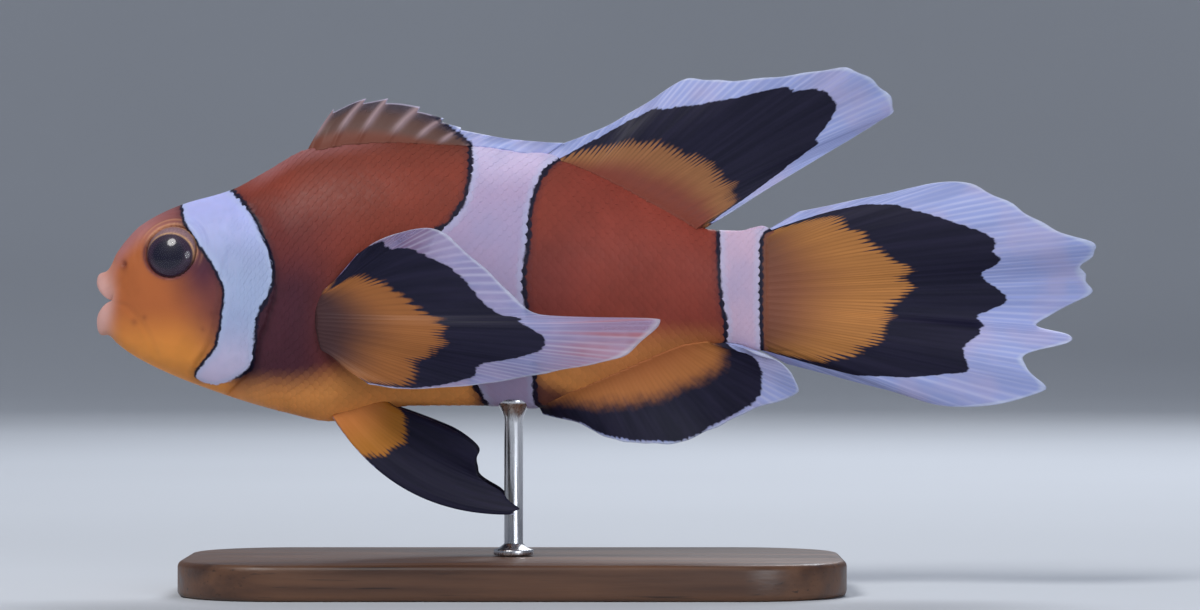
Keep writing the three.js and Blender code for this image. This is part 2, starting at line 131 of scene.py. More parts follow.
# ---------- colours ----------
def srgb(*screen):
    """A colour as the screen shows it, 0 to 255, in linear light."""
    v = np.array(screen) / 255
    return np.where(v <= 0.04045, v / 12.92, ((v + 0.055) / 1.055) ** 2.4)


TRUNK_RED = srgb(128, 54, 39)
REAR_RED = srgb(136, 58, 46)
SHOULDER_RED = srgb(102, 44, 42)
SHOULDER_MAROON = srgb(70, 34, 46)
BACK_BROWN = srgb(102, 53, 42)
# The belly's orange, brightened with painted light that stands in for light thrown up from below
BELLY_ORANGE_LIT_FROM_BELOW = srgb(236, 154, 84)
TAIL_ORANGE = srgb(132, 78, 56)
FACE_ORANGE = srgb(168, 94, 52)
# The chin's orange, brightened with painted light that stands in for light thrown up from below
CHIN_ORANGE_LIT_FROM_BELOW = srgb(232, 148, 66)
CHEEK_MAROON = srgb(112, 60, 62)
# The face's maroon spots; the same colour is painted as shade in the nostril's pit
SPOT_AND_PIT_SHADE_MAROON = srgb(96, 44, 40)
# A mauve of the head's top, also painted as a rim highlight along the back's top edge behind the head
MAUVE_AND_RIM_HIGHLIGHT = srgb(160, 108, 110)
# A maroon behind the eye, also painted as shade on the lower rim of each socket
EYE_MAROON_AND_SOCKET_SHADE = srgb(76, 38, 54)
FOLD_PALE = srgb(206, 150, 112)
LIP_PINK = srgb(206, 162, 156)
# Painted shade inside the mouth, darker than the mouth's own pale pink
MOUTH_PAINTED_SHADE = srgb(112, 60, 56)
BLACK = srgb(13, 12, 36)
SCALE_BLACK = srgb(50, 38, 54)  # the black margins on the scales' rear edges

PALE_CROWN = srgb(180, 185, 241)
PALE_HEAD = srgb(162, 175, 209)
PALE_LOW = srgb(205, 194, 222)
# Painted highlight: the white made lighter where light falls on the back
PALE_TOP_HIGHLIGHT = srgb(234, 214, 244)
PALE_MIDDLE = srgb(179, 157, 189)
PALE_TAIL = srgb(201, 171, 194)
PALE_CLOUD = srgb(148, 150, 188)
PALE_RIM = srgb(176, 190, 220)

SPINY_RED, SPINY_BROWN = srgb(110, 62, 49), srgb(94, 67, 60)
SPINE_DARK = srgb(58, 48, 66)
SPINE_PALE = srgb(150, 126, 130)
SPINE_EDGE = srgb(176, 168, 190)
# The soft dorsal's root red is darkened with painted shade, so that the fin, which faces the light, matches
# the body's top
DORSAL_RED_SHADED, DORSAL_ORANGE = srgb(121, 59, 46), srgb(148, 98, 62)
TAIL_BROWN, TAIL_GOLD = srgb(124, 73, 54), srgb(186, 123, 65)
ANAL_ORANGE, ANAL_GOLD = srgb(176, 102, 58), srgb(174, 108, 58)
PECTORAL_MAROON, PECTORAL_ORANGE = srgb(66, 42, 44), srgb(152, 94, 50)
PELVIC_ORANGE, PELVIC_GOLD = srgb(188, 114, 56), srgb(168, 106, 36)
FIN_WHITE = srgb(162, 173, 224)
FIN_GREY = srgb(152, 147, 188)
FIN_PINK = srgb(178, 120, 138)
FIN_LILAC = srgb(118, 84, 124)
FIN_BLACK_SILK = srgb(30, 27, 52)
FIN_BLUE_SILK = srgb(148, 160, 210)
FIN_HAIR = srgb(222, 224, 244)
FIN_CLOUD = srgb(190, 178, 212)
FIN_EDGE = srgb(220, 228, 240)

PUPIL_BLACK = srgb(12, 9, 34)
IRIS_PURPLE = srgb(48, 29, 50)
IRIS_GOLD = srgb(206, 160, 116)
IRIS_ROSE = srgb(160, 122, 122)
IRIS_MAUVE = srgb(124, 100, 110)
CORNEA_GREY = srgb(120, 120, 140)

WOOD_DARK = srgb(62, 40, 30)
WOOD_LIGHT = srgb(104, 70, 48)
WOOD_PORE = srgb(34, 22, 18)


# ---------- curves ----------
def along(rows, x):
    """Monotone cubic through (x, value) rows, flat beyond both ends."""
    xs, ys = np.array(rows, float).T
    step = np.diff(xs)
    slope = np.diff(ys) / step
    before, after = slope[:-1], slope[1:]
    total = np.where(before + after == 0, 1, before + after)
    inner = np.where(before * after > 0, 2 * before * after / total, 0)
    tangent = np.concatenate([slope[:1], inner, slope[-1:]])
    x = np.clip(np.asarray(x, float), xs[0], xs[-1])
    i = np.clip(np.searchsorted(xs, x, side="right") - 1, 0, len(xs) - 2)
    t = (x - xs[i]) / step[i]
    t2, t3 = t * t, t * t * t
    return (
        (2 * t3 - 3 * t2 + 1) * ys[i] + (t3 - 2 * t2 + t) * step[i] * tangent[i]
        + (3 * t2 - 2 * t3) * ys[i + 1] + (t3 - t2) * step[i] * tangent[i + 1]
    )


def mix(a, b, t):
    return a + (b - a) * t


def smooth(low, high, value):
    """0 at low, 1 at high, with soft ends; low may be the larger."""
    t = np.clip((value - low) / (high - low), 0, 1)
    return t * t * (3 - 2 * t)


def bump(distance, width):
    return np.exp(-((distance / width) ** 2))


def circle(angle):
    return np.stack([np.cos(angle), np.sin(angle)], axis=-1)


def past(curve, x, z):
    """How far x lies behind a side-view curve, measured square to it."""
    lean = (along(curve, z + 0.1) - along(curve, z - 0.1)) / 0.2
    return (x - along(curve, z)) / np.sqrt(1 + lean**2)


def band_fields(x, z):
    """Millimetres inside the nearest white band, and inside it with its black margins."""
    white = np.full(np.shape(x), -FAR)
    black = np.full(np.shape(x), -FAR)
    for front, rear, front_margin, rear_margin, (gone, full) in BANDS:
        ahead, behind = past(front, x, z), -past(rear, x, z)
        white = np.maximum(white, np.minimum(ahead, behind))
        fade = smooth(gone, full, z)
        margin = np.minimum(ahead + front_margin * fade, behind + rear_margin * fade)
        black = np.maximum(black, margin - 0.5 * (1 - fade))
    return white, black


# ---------- meshes ----------
def to_model(points):
    return (points + FISH_ORIGIN) * MM


def unit(vectors):
    return vectors / np.maximum(np.linalg.norm(vectors, axis=-1, keepdims=True), 1e-12)


def add_object(name, data):
    made = bpy.data.objects.new(name, data)
    bpy.context.scene.collection.objects.link(made)
    return made


def make_mesh(name, points, faces, material):
    mesh = bpy.data.meshes.new(name)
    mesh.from_pydata(points.tolist(), [], faces)
    mesh.shade_smooth()
    mesh.materials.append(material)
    return mesh


def make_piece(name, points, faces, material, replaces=(), corner_uv=None, fields=None, colours=None):
    """A smooth-shaded mesh from points in model metres, facing out, that rides on the one body."""
    mesh = make_mesh(name, points, faces, material)
    if corner_uv is not None:
        layer = mesh.uv_layers.new(name="OFBake")
        layer.data.foreach_set("uv", corner_uv.astype(np.float32).ravel())
    for field, values in (fields or {}).items():
        attribute = mesh.attributes.new(field, "FLOAT", "POINT")
        attribute.data.foreach_set("value", values.astype(np.float32).ravel())
    for field, values in (colours or {}).items():
        with_alpha = np.concatenate([values, np.ones((len(values), 1))], axis=1)
        attribute = mesh.color_attributes.new(field, "FLOAT_COLOR", "POINT")
        attribute.data.foreach_set("color", with_alpha.astype(np.float32).ravel())
    piece = add_object(name, mesh)
    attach(piece, "root")
    if replaces:
        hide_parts(*replaces)
    return piece


def grid_faces(rows, columns, wrap=False, start=0, flip=False):
    """Quads over a grid of points in row order. The last column may join the first."""
    i, k = (part.ravel() for part in np.indices((rows - 1, columns if wrap else columns - 1)))
    here, after = i * columns + k, i * columns + (k + 1) % columns
    quads = np.stack([here, after, after + columns, here + columns], axis=1)
    return (quads[:, ::-1] if flip else quads) + start


def closed_faces(rows, columns, flip=False):
    """Faces over closed rings of points, with a fan at each end to one of the last two points."""
    ring = np.arange(columns)
    after = np.roll(ring, -1)
    a, b = (ring, after) if flip else (after, ring)
    pole, last = np.full(columns, rows * columns), (rows - 1) * columns
    fans = [np.stack([pole, a, b], axis=1), np.stack([pole + 1, last + b, last + a], axis=1)]
    quads = grid_faces(rows, columns, wrap=True, flip=flip)
    return [face for part in (quads, *fans) for face in part.tolist()]


# ---------- skin ----------
AROUND = 240  # points round each ring
PRE_RINGS, ROLL_RINGS = 5, 14  # rings inside the mouth, then rings that roll over the lips
FIRST_RING = PRE_RINGS + ROLL_RINGS  # the first ring outside the lips
LIP_EASING = 24  # rounds of smoothing that melt the lips into the cheeks
EASED_BEFORE, EASED_AFTER = 6, 10  # how many rings of the lips and of the cheeks are smoothed
MOUTH_BACK = np.array([MOUTH_BACK_X, 0, MOUTH_Z])
STRETCHES = ((LIP_X, 4, 0.13), (4, 9.6, 0.1), (9.6, 17, 0.15), (17, 50, 0.3), (50, BODY_END, 0.22))
STATIONS = np.concatenate([*(np.arange(*stretch) for stretch in STRETCHES), [BODY_END]])
CHART_START, CHART_SPAN = 0.01, 0.98
FACE_SPOTS = ((3.5, -1.6, 0.3), (10.2, -0.9, 0.22), (4.4, -1.2, 0.2), (9.4, -2.2, 0.18))  # x, z and width
FLESH_NODES = ("head", "lower_jaw", "gill_cover_left", "gill_cover_right", "trunk", "tail_peduncle")


def body_point(x, angle):
    """A point of the flesh: angle 0 is the back, a quarter turn the left flank and half a turn the belly."""
    top = along(BACK, x) - COAT_DEPTH
    bottom = along(BELLY, x) + COAT_DEPTH
    middle = mix(bottom, top, WIDEST_LEVEL)
    rise, side = np.cos(angle), np.sin(angle)
    keel = np.where(rise >= 0, along(BACK_KEEL, x), along(BELLY_KEEL, x))
    y = -(along(HALF_WIDTH, x) - COAT_DEPTH) * np.sign(side) * np.abs(side) ** keel
    z = middle + np.where(rise >= 0, top - middle, middle - bottom) * rise
    return np.stack(np.broadcast_arrays(x, y, z), axis=-1)


def outer_ring(station, angle):
    """A ring outside the lips. The first ones lean back at the corners of the mouth."""
    rim = mix(CORNER_X, LIP_X, np.abs(np.cos(angle)) ** 1.3)
    fade = max(0, 1 - (station - LIP_X) / LIP_FADE) ** 2
    return body_point(station + (rim - LIP_X) * fade, angle)


def eye_frame(side):
    """Centre of an eye and its backward, upward and outward directions."""
    low, high = along(BELLY, EYE_X), along(BACK, EYE_X)
    level = (EYE_Z - mix(low, high, WIDEST_LEVEL)) / ((high - low) * (1 - WIDEST_LEVEL))
    flank = along(HALF_WIDTH, EYE_X) * math.sin(math.acos(level))
    centre = np.array([EYE_X, side * (flank + EYE_PROUD - EYE_DEPTH), EYE_Z])
    turn, tip = side * EYE_FORWARD, side * EYE_UP
    about_z = np.array([[math.cos(turn), -math.sin(turn), 0], [math.sin(turn), math.cos(turn), 0], [0, 0, 1]])
    about_x = np.array([[1, 0, 0], [0, math.cos(tip), -math.sin(tip)], [0, math.sin(tip), math.cos(tip)]])
    axes = about_x @ about_z
    return centre, axes[:, 0], axes[:, 2], axes[:, 1] * side


def eye_offsets(points, side):
    """How far points lie behind, above and outside an eye's centre, in its own directions."""
    centre, *directions = eye_frame(side)
    return [(points - centre) @ direction for direction in directions]


def eye_polar(points):
    """Distance from the nearer eye's axis, and angle round it from the tail side upwards."""
    both = []
    for side in (-1, 1):
        a, b, height = eye_offsets(points, side)
        both.append((np.where(height > -EYE_DEPTH, np.hypot(a, b), FAR), np.arctan2(b, a)))
    right_nearer = both[1][0] < both[0][0]
    return [np.where(right_nearer, right, left) for left, right in zip(*both)]


def round_sockets(points):
    """Draws the points beside each eye's socket onto its rim, so that the rim is an even circle."""
    for side in (-1, 1):
        _, back, up, _ = eye_frame(side)
        a, b, height = eye_offsets(points, side)
        r = np.maximum(np.hypot(a, b), 0.1)
        gap = (r - SOCKET) / SOCKET_PULL
        near = (np.abs(gap) < 1) & (height > -EYE_DEPTH)
        change = np.where(near, (SOCKET + SOCKET_PULL * gap**3) / r - 1, 0)[..., None]
        points = points + change * (a[..., None] * back + b[..., None] * up)
    return points


def skin_relief(points):
    """Millimetres that the skin stands above the plain flesh, from the folds and edges of the head."""
    x, y, z = np.moveaxis(points, -1, 0)
    flank = smooth(0.3, 1.4, np.abs(y))

    # The gill cover swells towards its rear edge, and the skin dips behind it.
    gill = past(GILL_REAR, x, z)
    window = smooth(9, 7.2, z) * smooth(-8.4, -7.4, z) * flank
    cover = 0.16 * smooth(-4, -0.5, gill) * (gill < 0)
    behind = -0.24 * smooth(2.2, 0.05, gill) * (gill >= 0)
    relief = window * (cover + behind)

    # A low ridge and a groove run down the front of the cover, and a groove follows the jaw.
    bend = past(GILL_FRONT, x, z)
    window = smooth(5.2, 3.6, z) * smooth(-6.4, -4.6, z) * flank
    relief += window * (0.07 * bump(bend + 0.45, 0.4) - 0.12 * bump(bend, 0.22))
    window = smooth(0.4, -0.3, z) * smooth(-5.4, -4, z) * smooth(0.2, 0.8, np.abs(y))
    relief -= 0.07 * window * bump(past(JAW_LINE, x, z), 0.3)

    # An arc on the cheek, then the folds over the eye and its socket
    cheek = np.hypot(x - 4.1, z - 0.9)
    relief -= 0.06 * bump(cheek - 1.9, 0.25) * smooth(3.4, 2.4, x) * smooth(0, 0.8, z) * flank
    r, turn = eye_polar(points)
    upper = 0.5 + 0.5 * np.sin(turn + 0.5)
    relief += 0.1 * bump(r - 2.66, 0.24) * upper**2
    relief -= 0.07 * bump(r - 3.12, 0.14) * upper
    relief += 0.05 * bump(r - 3.5, 0.22) * upper
    relief -= 1.5 * smooth(SOCKET - 0.06, SOCKET - 0.22, r)

    # The nostril has a raised rim, and a groove sets the lips off.
    nostril = np.hypot(x - NOSTRIL_X, (z - NOSTRIL_Z) * 0.8)
    relief += flank * (0.03 * bump(nostril - 0.3, 0.12) - 0.25 * bump(nostril, 0.15))
    lip_groove = x - mix(1.95, 2.9, smooth(2.2, 0.2, np.abs(z)))
    relief -= 0.03 * bump(lip_groove, 0.32) * smooth(-4.2, -2.8, z)
    return relief


def grid_normals(points):
    across = np.roll(points, -1, axis=1) - np.roll(points, 1, axis=1)
    back = np.gradient(points, axis=0)
    return unit(np.cross(across, back))


def skin_grid():
    """Points and outward directions, one row for each ring from the mouth's back to the tail's end."""
    angle = np.arange(AROUND) / AROUND * TURN
    level = np.cos(angle)
    edge = outer_ring(LIP_X, angle)
    height = np.where(level > 0, OPENING_RISE, OPENING_DROP) * level**3
    opening = np.stack([edge[:, 0], -OPENING_HALF_WIDTH * np.sin(angle), MOUTH_Z + height], axis=-1)
    rings = [mix(opening, MOUTH_BACK, share) for share in np.linspace(0.9, 0.12, PRE_RINGS)]
    forward = (LIP_FORWARD - COAT_DEPTH) * (0.35 + 0.65 * np.abs(level))
    for k in range(ROLL_RINGS, 0, -1):
        turn = math.pi * k / ROLL_RINGS
        ring = mix(edge, opening, (1 - math.cos(turn)) / 2)
        ring[:, 0] -= forward * math.sin(turn)
        rings.append(ring)
    points = np.array(rings + [outer_ring(station, angle) for station in STATIONS])
    points[FIRST_RING:] = round_sockets(points[FIRST_RING:])
    relief = skin_relief(points)
    relief[:FIRST_RING] = 0
    points = points + grid_normals(points) * relief[..., None]
    amount = 0.5 * np.abs(np.sin(angle))[:, None] ** 0.7
    first, last = FIRST_RING - EASED_BEFORE, FIRST_RING + EASED_AFTER
    for _ in range(LIP_EASING):
        middle = (points[first - 1:last - 1] + points[first + 1:last + 1]) / 2
        points[first:last] = mix(points[first:last], middle, amount)
    return points, grid_normals(points)


def body_colour(x, z, top):
    """The skin's ground colour, with painted light and shade, without bands."""
    colour = np.broadcast_to(TRUNK_RED, (*x.shape, 3)).copy()

    def paint(new, amount):
        colour[:] = mix(colour, new, np.clip(amount, 0, 1)[..., None])

    # Trunk, from the rear to the shoulder and the nape
    paint(REAR_RED, smooth(34, 42, x))
    paint(BACK_BROWN, 0.6 * smooth(3.4, 0.4, top - z) * smooth(14, 20, x) * smooth(43, 36, x))
    paint(SHOULDER_RED, smooth(25, 16, x) * smooth(11, 5, z))
    paint(SHOULDER_MAROON, 0.95 * smooth(22, 17, x) * smooth(5.6, 0.5, z))
    paint(SHOULDER_MAROON, 0.32 * smooth(43.5, 37.5, x) * smooth(35, 37, x) * smooth(8, 2, z))
    # Painted rim highlight: a pale mauve strip along the back's top edge behind the head.
    paint(MAUVE_AND_RIM_HIGHLIGHT, 0.55 * smooth(1.7, 0.1, top - z) * smooth(12, 15, x) * smooth(27, 19, x))
    # The underside's orange carries painted light from below, here and towards the tail.
    belly_level = mix(-5.4, -3.8, smooth(16, 24, x))
    paint(BELLY_ORANGE_LIT_FROM_BELOW, smooth(0, -3.2, z - belly_level) * smooth(46, 38, x))
    paint(BELLY_ORANGE_LIT_FROM_BELOW, 0.6 * smooth(-1.2, -4.2, z) * smooth(36, 40, x) * smooth(56, 50, x))

    # Face
    face = smooth(12.4, 10.6, x)
    paint(FACE_ORANGE, face)
    # Painted light from below brightens the chin's orange.
    paint(CHIN_ORANGE_LIT_FROM_BELOW, face * smooth(0, -5, z))
    paint(MAUVE_AND_RIM_HIGHLIGHT, 0.9 * face * smooth(2.6, 0.2, top - z) * smooth(1.2, 2.4, x))
    paint(CHEEK_MAROON, 0.85 * face * smooth(-2.2, 2.8, x - 7.2 - 0.42 * (2.3 - z)) * smooth(-6.4, -4, z))
    paint(EYE_MAROON_AND_SOCKET_SHADE, 0.95 * bump(np.hypot(x - 9.5, (z - 3) * 0.75), 1.6))
    # Painted shade darkens the nostril's pit.
    paint(SPOT_AND_PIT_SHADE_MAROON, 0.7 * bump(np.hypot(x - NOSTRIL_X, (z - NOSTRIL_Z) * 0.6), 0.3))
    for spot_x, spot_z, width in FACE_SPOTS:
        paint(SPOT_AND_PIT_SHADE_MAROON, 0.35 * bump(np.hypot(x - spot_x, z - spot_z), width))

    # Dark patches beside the anal fin, and the root of the tail
    patch = 0.9 * smooth(-5.8, -7.6, z + 0.4 * (x - 38)) * smooth(36, 37.4, x)
    paint(SHOULDER_MAROON, patch * smooth(44, 40, x))
    paint(SHOULDER_MAROON, 0.8 * smooth(-6.6, -7.8, z) * smooth(31.4, 33, x) * smooth(36, 34, x))
    paint(TAIL_ORANGE, smooth(56.2, 56.8, x))
    return colour


def pale_colour(x, z):
    """The white of the bands, which shifts from bluish on the head to pinkish on the tail root."""
    colour = mix(PALE_HEAD, PALE_CROWN, smooth(2.5, 9, z)[..., None])
    colour = mix(colour, PALE_LOW, (smooth(-1, -6, z) * smooth(16, 14, x))[..., None])
    colour = mix(colour, PALE_MIDDLE, smooth(14, 30, x)[..., None])
    # Painted highlight: the white lightens along the back, where light falls from above.
    colour = mix(colour, PALE_TOP_HIGHLIGHT, 0.7 * smooth(9, 13, z)[..., None] * smooth(20, 30, x)[..., None])
    return mix(colour, PALE_TAIL, smooth(46, 53, x)[..., None])


def marking_fields(points):
    """Markings that skin and scales share, with painted shade at the lower rim of each eye's socket."""
    x, z = points[:, 0], points[:, 2]
    white, black = band_fields(x, z)
    tint = body_colour(x, z, along(BACK, x))
    r, turn = eye_polar(points)
    upper = smooth(-0.3, 0.5, np.sin(turn + 0.4))
    # Painted shade: the lower half of the socket's rim turns maroon.
    tint = mix(tint, EYE_MAROON_AND_SOCKET_SHADE, (0.8 * bump(r - 2.3, 0.22) * (1 - upper))[:, None])
    fold = bump(r - 2.42, 0.1) + 0.7 * bump(r - 2.86, 0.1)
    tint = mix(tint, FOLD_PALE, (0.7 * np.clip(fold, 0, 1) * upper)[:, None])
    return {"white": white, "black": black}, {"tint": tint, "pale": pale_colour(x, z)}


def pairs(u, v):
    return np.stack(np.broadcast_arrays(u, v), axis=-1)


def chart_u(grid):
    """Chart places of the skin's rings, by their distance along the back."""
    length = np.concatenate([[0], np.cumsum(np.linalg.norm(np.diff(grid[:, 0], axis=0), axis=1))])
    return CHART_START + CHART_SPAN * length / length[-1]


def chart_v(column):
    """Chart place of a column: once round the body, with the seam along the belly."""
    return ((column / AROUND + 0.5) % 1) * CHART_SPAN + CHART_START


def add_skin(grid, material):
    rows = len(grid)
    tail_tip = grid[-1].mean(axis=0) + [0.25, 0, 0]
    points = np.concatenate([grid.reshape(-1, 3), [MOUTH_BACK, tail_tip]])

    fields, colours = marking_fields(points)
    ring = np.append(np.repeat(np.arange(rows), AROUND), [0, rows - 1])
    # Inside the mouth the colour turns to painted shade.
    inside = smooth(PRE_RINGS + ROLL_RINGS * 0.2, PRE_RINGS - 2, ring)
    lip = smooth(FIRST_RING + 16, PRE_RINGS + ROLL_RINGS * 0.6, ring) * smooth(2.9, 0.7, points[:, 0])
    tint = mix(colours["tint"], LIP_PINK, 0.85 * lip[:, None])
    colours["tint"] = mix(tint, MOUTH_PAINTED_SHADE, inside[:, None])

    u = chart_u(grid)
    here, after = u[:-1, None], u[1:, None]
    start = chart_v(np.arange(AROUND))
    end = start + CHART_SPAN / AROUND
    quads = [pairs(here, start), pairs(here, end), pairs(after, end), pairs(after, start)]
    mouth_fan = [pairs(0, start), pairs(u[0], end), pairs(u[0], start)]
    tail_fan = [pairs(1, start), pairs(u[-1], start), pairs(u[-1], end)]
    corner_uv = [np.stack(corners, axis=-2).reshape(-1, 2) for corners in (quads, mouth_fan, tail_fan)]
    make_piece("skin", to_model(points), closed_faces(rows, AROUND), material, FLESH_NODES,
               np.concatenate(corner_uv), fields, colours)


# ---------- scales ----------
SCALE_START, SCALE_END = 9.6, 56.3
SCALE_SIZE = [(8, 0.5), (13, 0.68), (18, 0.85), (30, 0.9), (48, 0.86), (57, 0.68)]  # height of a scale's face
COLUMN_STEP = 0.46  # share of a scale's height from one column to the next
MIDDLE_ROW = 0.47  # share of the way down the side where a column's rows are counted from
SCALE_EDGE = 7  # points on the rounded rear edge
SCALE_FRONT, SCALE_RISE, SCALE_SINK = -0.03, 0.032, -0.05  # heights of a scale's front, rear and underside
EYE_CLEARANCE = 3.5  # no scales nearer than this to an eye's axis
PATCH = 0.003  # size of a scale's place in the chart
MAP_LEVELS = 400  # steps from back to belly in the table of columns


def bilinear(table, row, column):
    i = np.clip(np.floor(row).astype(int), 0, table.shape[0] - 2)
    k = np.clip(np.floor(column).astype(int), 0, table.shape[1] - 2)
    a, b = np.clip(row - i, 0, 1), np.clip(column - k, 0, 1)
    if table.ndim == 3:
        a, b = a[..., None], b[..., None]
    return mix(mix(table[i, k], table[i, k + 1], b), mix(table[i + 1, k], table[i + 1, k + 1], b), a)


class SkinMap:
    """Finds points of the finished left flank by distance back and by distance down from the back's line."""

    def __init__(self, grid, normals):
        half = AROUND // 2 + 1
        self.points, self.normals = grid[FIRST_RING:, :half], normals[FIRST_RING:, :half]
        self.u = chart_u(grid)[FIRST_RING:]
        steps = np.linalg.norm(np.diff(self.points, axis=1), axis=2)
        arcs = np.concatenate([np.zeros((len(steps), 1)), np.cumsum(steps, axis=1)], axis=1)
        self.total = arcs[:, -1]
        level = np.linspace(0, 1, MAP_LEVELS + 1)
        self.column = np.array([np.interp(level * arc[-1], arc, np.arange(half)) for arc in arcs])

    def row(self, x):
        return np.interp(x, STATIONS, np.arange(len(STATIONS)))

    def side_length(self, x):
        return np.interp(self.row(x), np.arange(len(self.total)), self.total)

    def sample(self, x, down):
        """Points, outward directions and chart places at x, a distance down from the back."""
        row = self.row(x)
        share = np.clip(down / self.side_length(x), 0, 1) * MAP_LEVELS
        column = bilinear(self.column, row, share)
        u = np.interp(row, np.arange(len(self.u)), self.u)
        outward = unit(bilinear(self.normals, row, column))
        return bilinear(self.points, row, column), outward, pairs(u, chart_v(column))


def scale_places(skin_map):
    """Roots of the left side's scales as x, distance down and size, in overlapping staggered columns."""
    places = []
    x, odd = SCALE_START, 0
    while x < SCALE_END:
        size = float(along(SCALE_SIZE, x))
        length = skin_map.side_length(x)
        count = int(length / size) + 2
        down = length * MIDDLE_ROW + (np.arange(-count, count) + 0.5 * odd) * size
        down = down[(down > 0.2 * size) & (down < length - 0.2 * size)]
        places.append(np.stack([np.full(down.shape, x), down, np.full(down.shape, size)], axis=-1))
        x += COLUMN_STEP * size
        odd = 1 - odd
    places = np.concatenate(places)

    # None lie over the gill cover's edge or round the eye, and they thin out towards the face.
    points = skin_map.sample(places[:, 0] + 0.3, places[:, 1])[0]
    gill = past(GILL_REAR, points[:, 0], points[:, 2])
    at_gill_edge = (gill > -0.35) & (gill < 0.5) & (points[:, 2] < 7.8) & (points[:, 2] > -8)
    chance = smooth(SCALE_START - 0.5, SCALE_START + 4, places[:, 0])
    scattered = np.random.default_rng(7).random(len(places)) < chance
    return places[~at_gill_edge & (eye_polar(points)[0] > EYE_CLEARANCE) & scattered]


def scale_outline():
    """One scale's edge from root to rounded rear, as shares of its size: back and down, with its height."""
    swing = np.linspace(-math.pi / 2, math.pi / 2, SCALE_EDGE)
    rear = np.stack([0.5 + 0.52 * np.cos(swing), 0.53 * np.sin(swing)], axis=-1)
    front = np.array([[0.12, 0.46], [-0.08, 0.0], [0.12, -0.46]])
    outline = np.concatenate([rear, front])
    return outline, mix(SCALE_FRONT, SCALE_RISE, smooth(0, 0.95, outline[:, 0]))


def add_scales(side, skin_map, material):
    """One flank's scales as a joined mesh of thin closed plates that overlap towards the tail."""
    places = scale_places(skin_map)
    outline, height = scale_outline()
    edge = len(outline)
    count, per_scale = len(places), 2 * edge + 1
    local = np.concatenate([outline, [[0.5, 0]], outline])
    rise = np.concatenate([height, [SCALE_RISE * 0.85], np.full(edge, SCALE_SINK)])
    jitter = np.random.default_rng(21 if side < 0 else 22)
    size = places[:, 2:3] * jitter.uniform(0.96, 1.05, (count, 1))
    x = places[:, 0:1] + local[:, 0] * size
    down = places[:, 1:2] + local[:, 1] * size
    points, normals, _ = skin_map.sample(x, down)
    grown = mix(0.2, 1, smooth(SCALE_START, 16, places[:, 0]))
    lift = np.where(rise > 0, grown[:, None] * jitter.uniform(0.75, 1.2, (count, 1)), 1) * rise
    points = points + normals * lift[..., None]
    points[..., 1] *= -side

    # Each scale leans on its middle for its markings, so the bands' edges step a little from scale to scale.
    middle = points[:, edge:edge + 1]
    fields, colours = marking_fields(mix(middle, points, 0.65).reshape(-1, 3))
    fields["grain"] = np.repeat(jitter.uniform(-1, 1, count) * grown, per_scale)
    fields["rear"] = (grown[:, None] * smooth(0.45, 1.0, local[:, 0])).ravel()

    # Faces of one scale: a fan on top, a wall and a base
    k = np.arange(edge)
    after = np.roll(k, -1)
    top = np.stack([np.full(edge, edge), k, after], axis=1)
    wall = np.stack([after, k, edge + 1 + k, edge + 1 + after], axis=1)
    pattern = [*top.tolist(), *wall.tolist(), (edge + 1 + k[::-1]).tolist()]
    if side > 0:
        pattern = [face[::-1] for face in pattern]
    faces = [[index + n * per_scale for index in face] for n in range(count) for face in pattern]

    root_uv = skin_map.sample(places[:, 0], places[:, 1])[2]
    if side > 0:
        root_uv[:, 1] = 1 - root_uv[:, 1]
    patch = (local - [0.45, 0]) * PATCH / 1.2
    corner_uv = root_uv[:, None] + patch[np.concatenate(pattern)]
    name = "scales_left" if side < 0 else "scales_right"
    points = to_model(points.reshape(-1, 3))
    piece = make_piece(name, points, faces, material, (), corner_uv, fields, colours)

    # The edges round each scale's top are sharp.
    mesh = piece.data
    ends = np.empty(2 * len(mesh.edges), np.int32)
    mesh.edges.foreach_get("vertices", ends)
    on_outline = (ends.reshape(-1, 2) % per_scale < edge).all(axis=1)
    sharp = mesh.attributes.new("sharp_edge", "BOOLEAN", "EDGE")
    sharp.data.foreach_set("value", on_outline)


# ---------- fins ----------
# Key rays: root x and z, tip x and z, bow, then the shares of it at which its inner colour and its black end
SPINY_RAYS = [
    (17.6, 12.2, 20.2, 16.5, 0.03, 1, 1), (20, 12.3, 23, 17.4, 0.08, 1, 1),
    (22, 12.5, 24.9, 17.4, 0.05, 1, 1), (24.4, 12.6, 27.7, 16.6, 0.06, 1, 1),
    (26.6, 12.6, 29.7, 15.6, 0.08, 1, 1), (28.6, 12.5, 31.2, 14.8, 0.08, 1, 1),
    (30.8, 12.2, 33.6, 14.2, 0.06, 1, 1), (33.6, 11.8, 36.5, 13.7, 0.04, 1, 1),
    (37.4, 11.2, 40.4, 13.6, 0.02, 1, 1),
]
SOFT_RAYS = [
    (36.8, 11.2, 39.5, 13.5, 0, 0, 0), (39.4, 10.6, 43.2, 15, 0, 0.52, 0.71),
    (41, 9.8, 47, 17.2, 0, 0.47, 0.8), (42.5, 9.8, 50.6, 19.2, 0, 0.4, 0.71),
    (43.9, 9.3, 54, 19, 0, 0.43, 0.8), (45.2, 8.8, 59, 19.4, 0, 0.355, 0.88),
    (46.4, 8.4, 63.6, 20, 0, 0.285, 0.83), (47.6, 7.9, 66.6, 18.7, 0.02, 0.28, 0.82),
    (48.6, 7.3, 68.1, 16.6, 0.02, 0.28, 0.66), (49.4, 6.9, 66.4, 15.3, 0.02, 0.28, 0.61),
    (50.1, 6.5, 62.6, 13, 0.02, 0.35, 0.61), (50.7, 6.2, 57.2, 9.75, 0.02, 0.5, 0.64),
    (51.2, 6.15, 52.9, 7.05, 0.02, 0.5, 0.64),
]
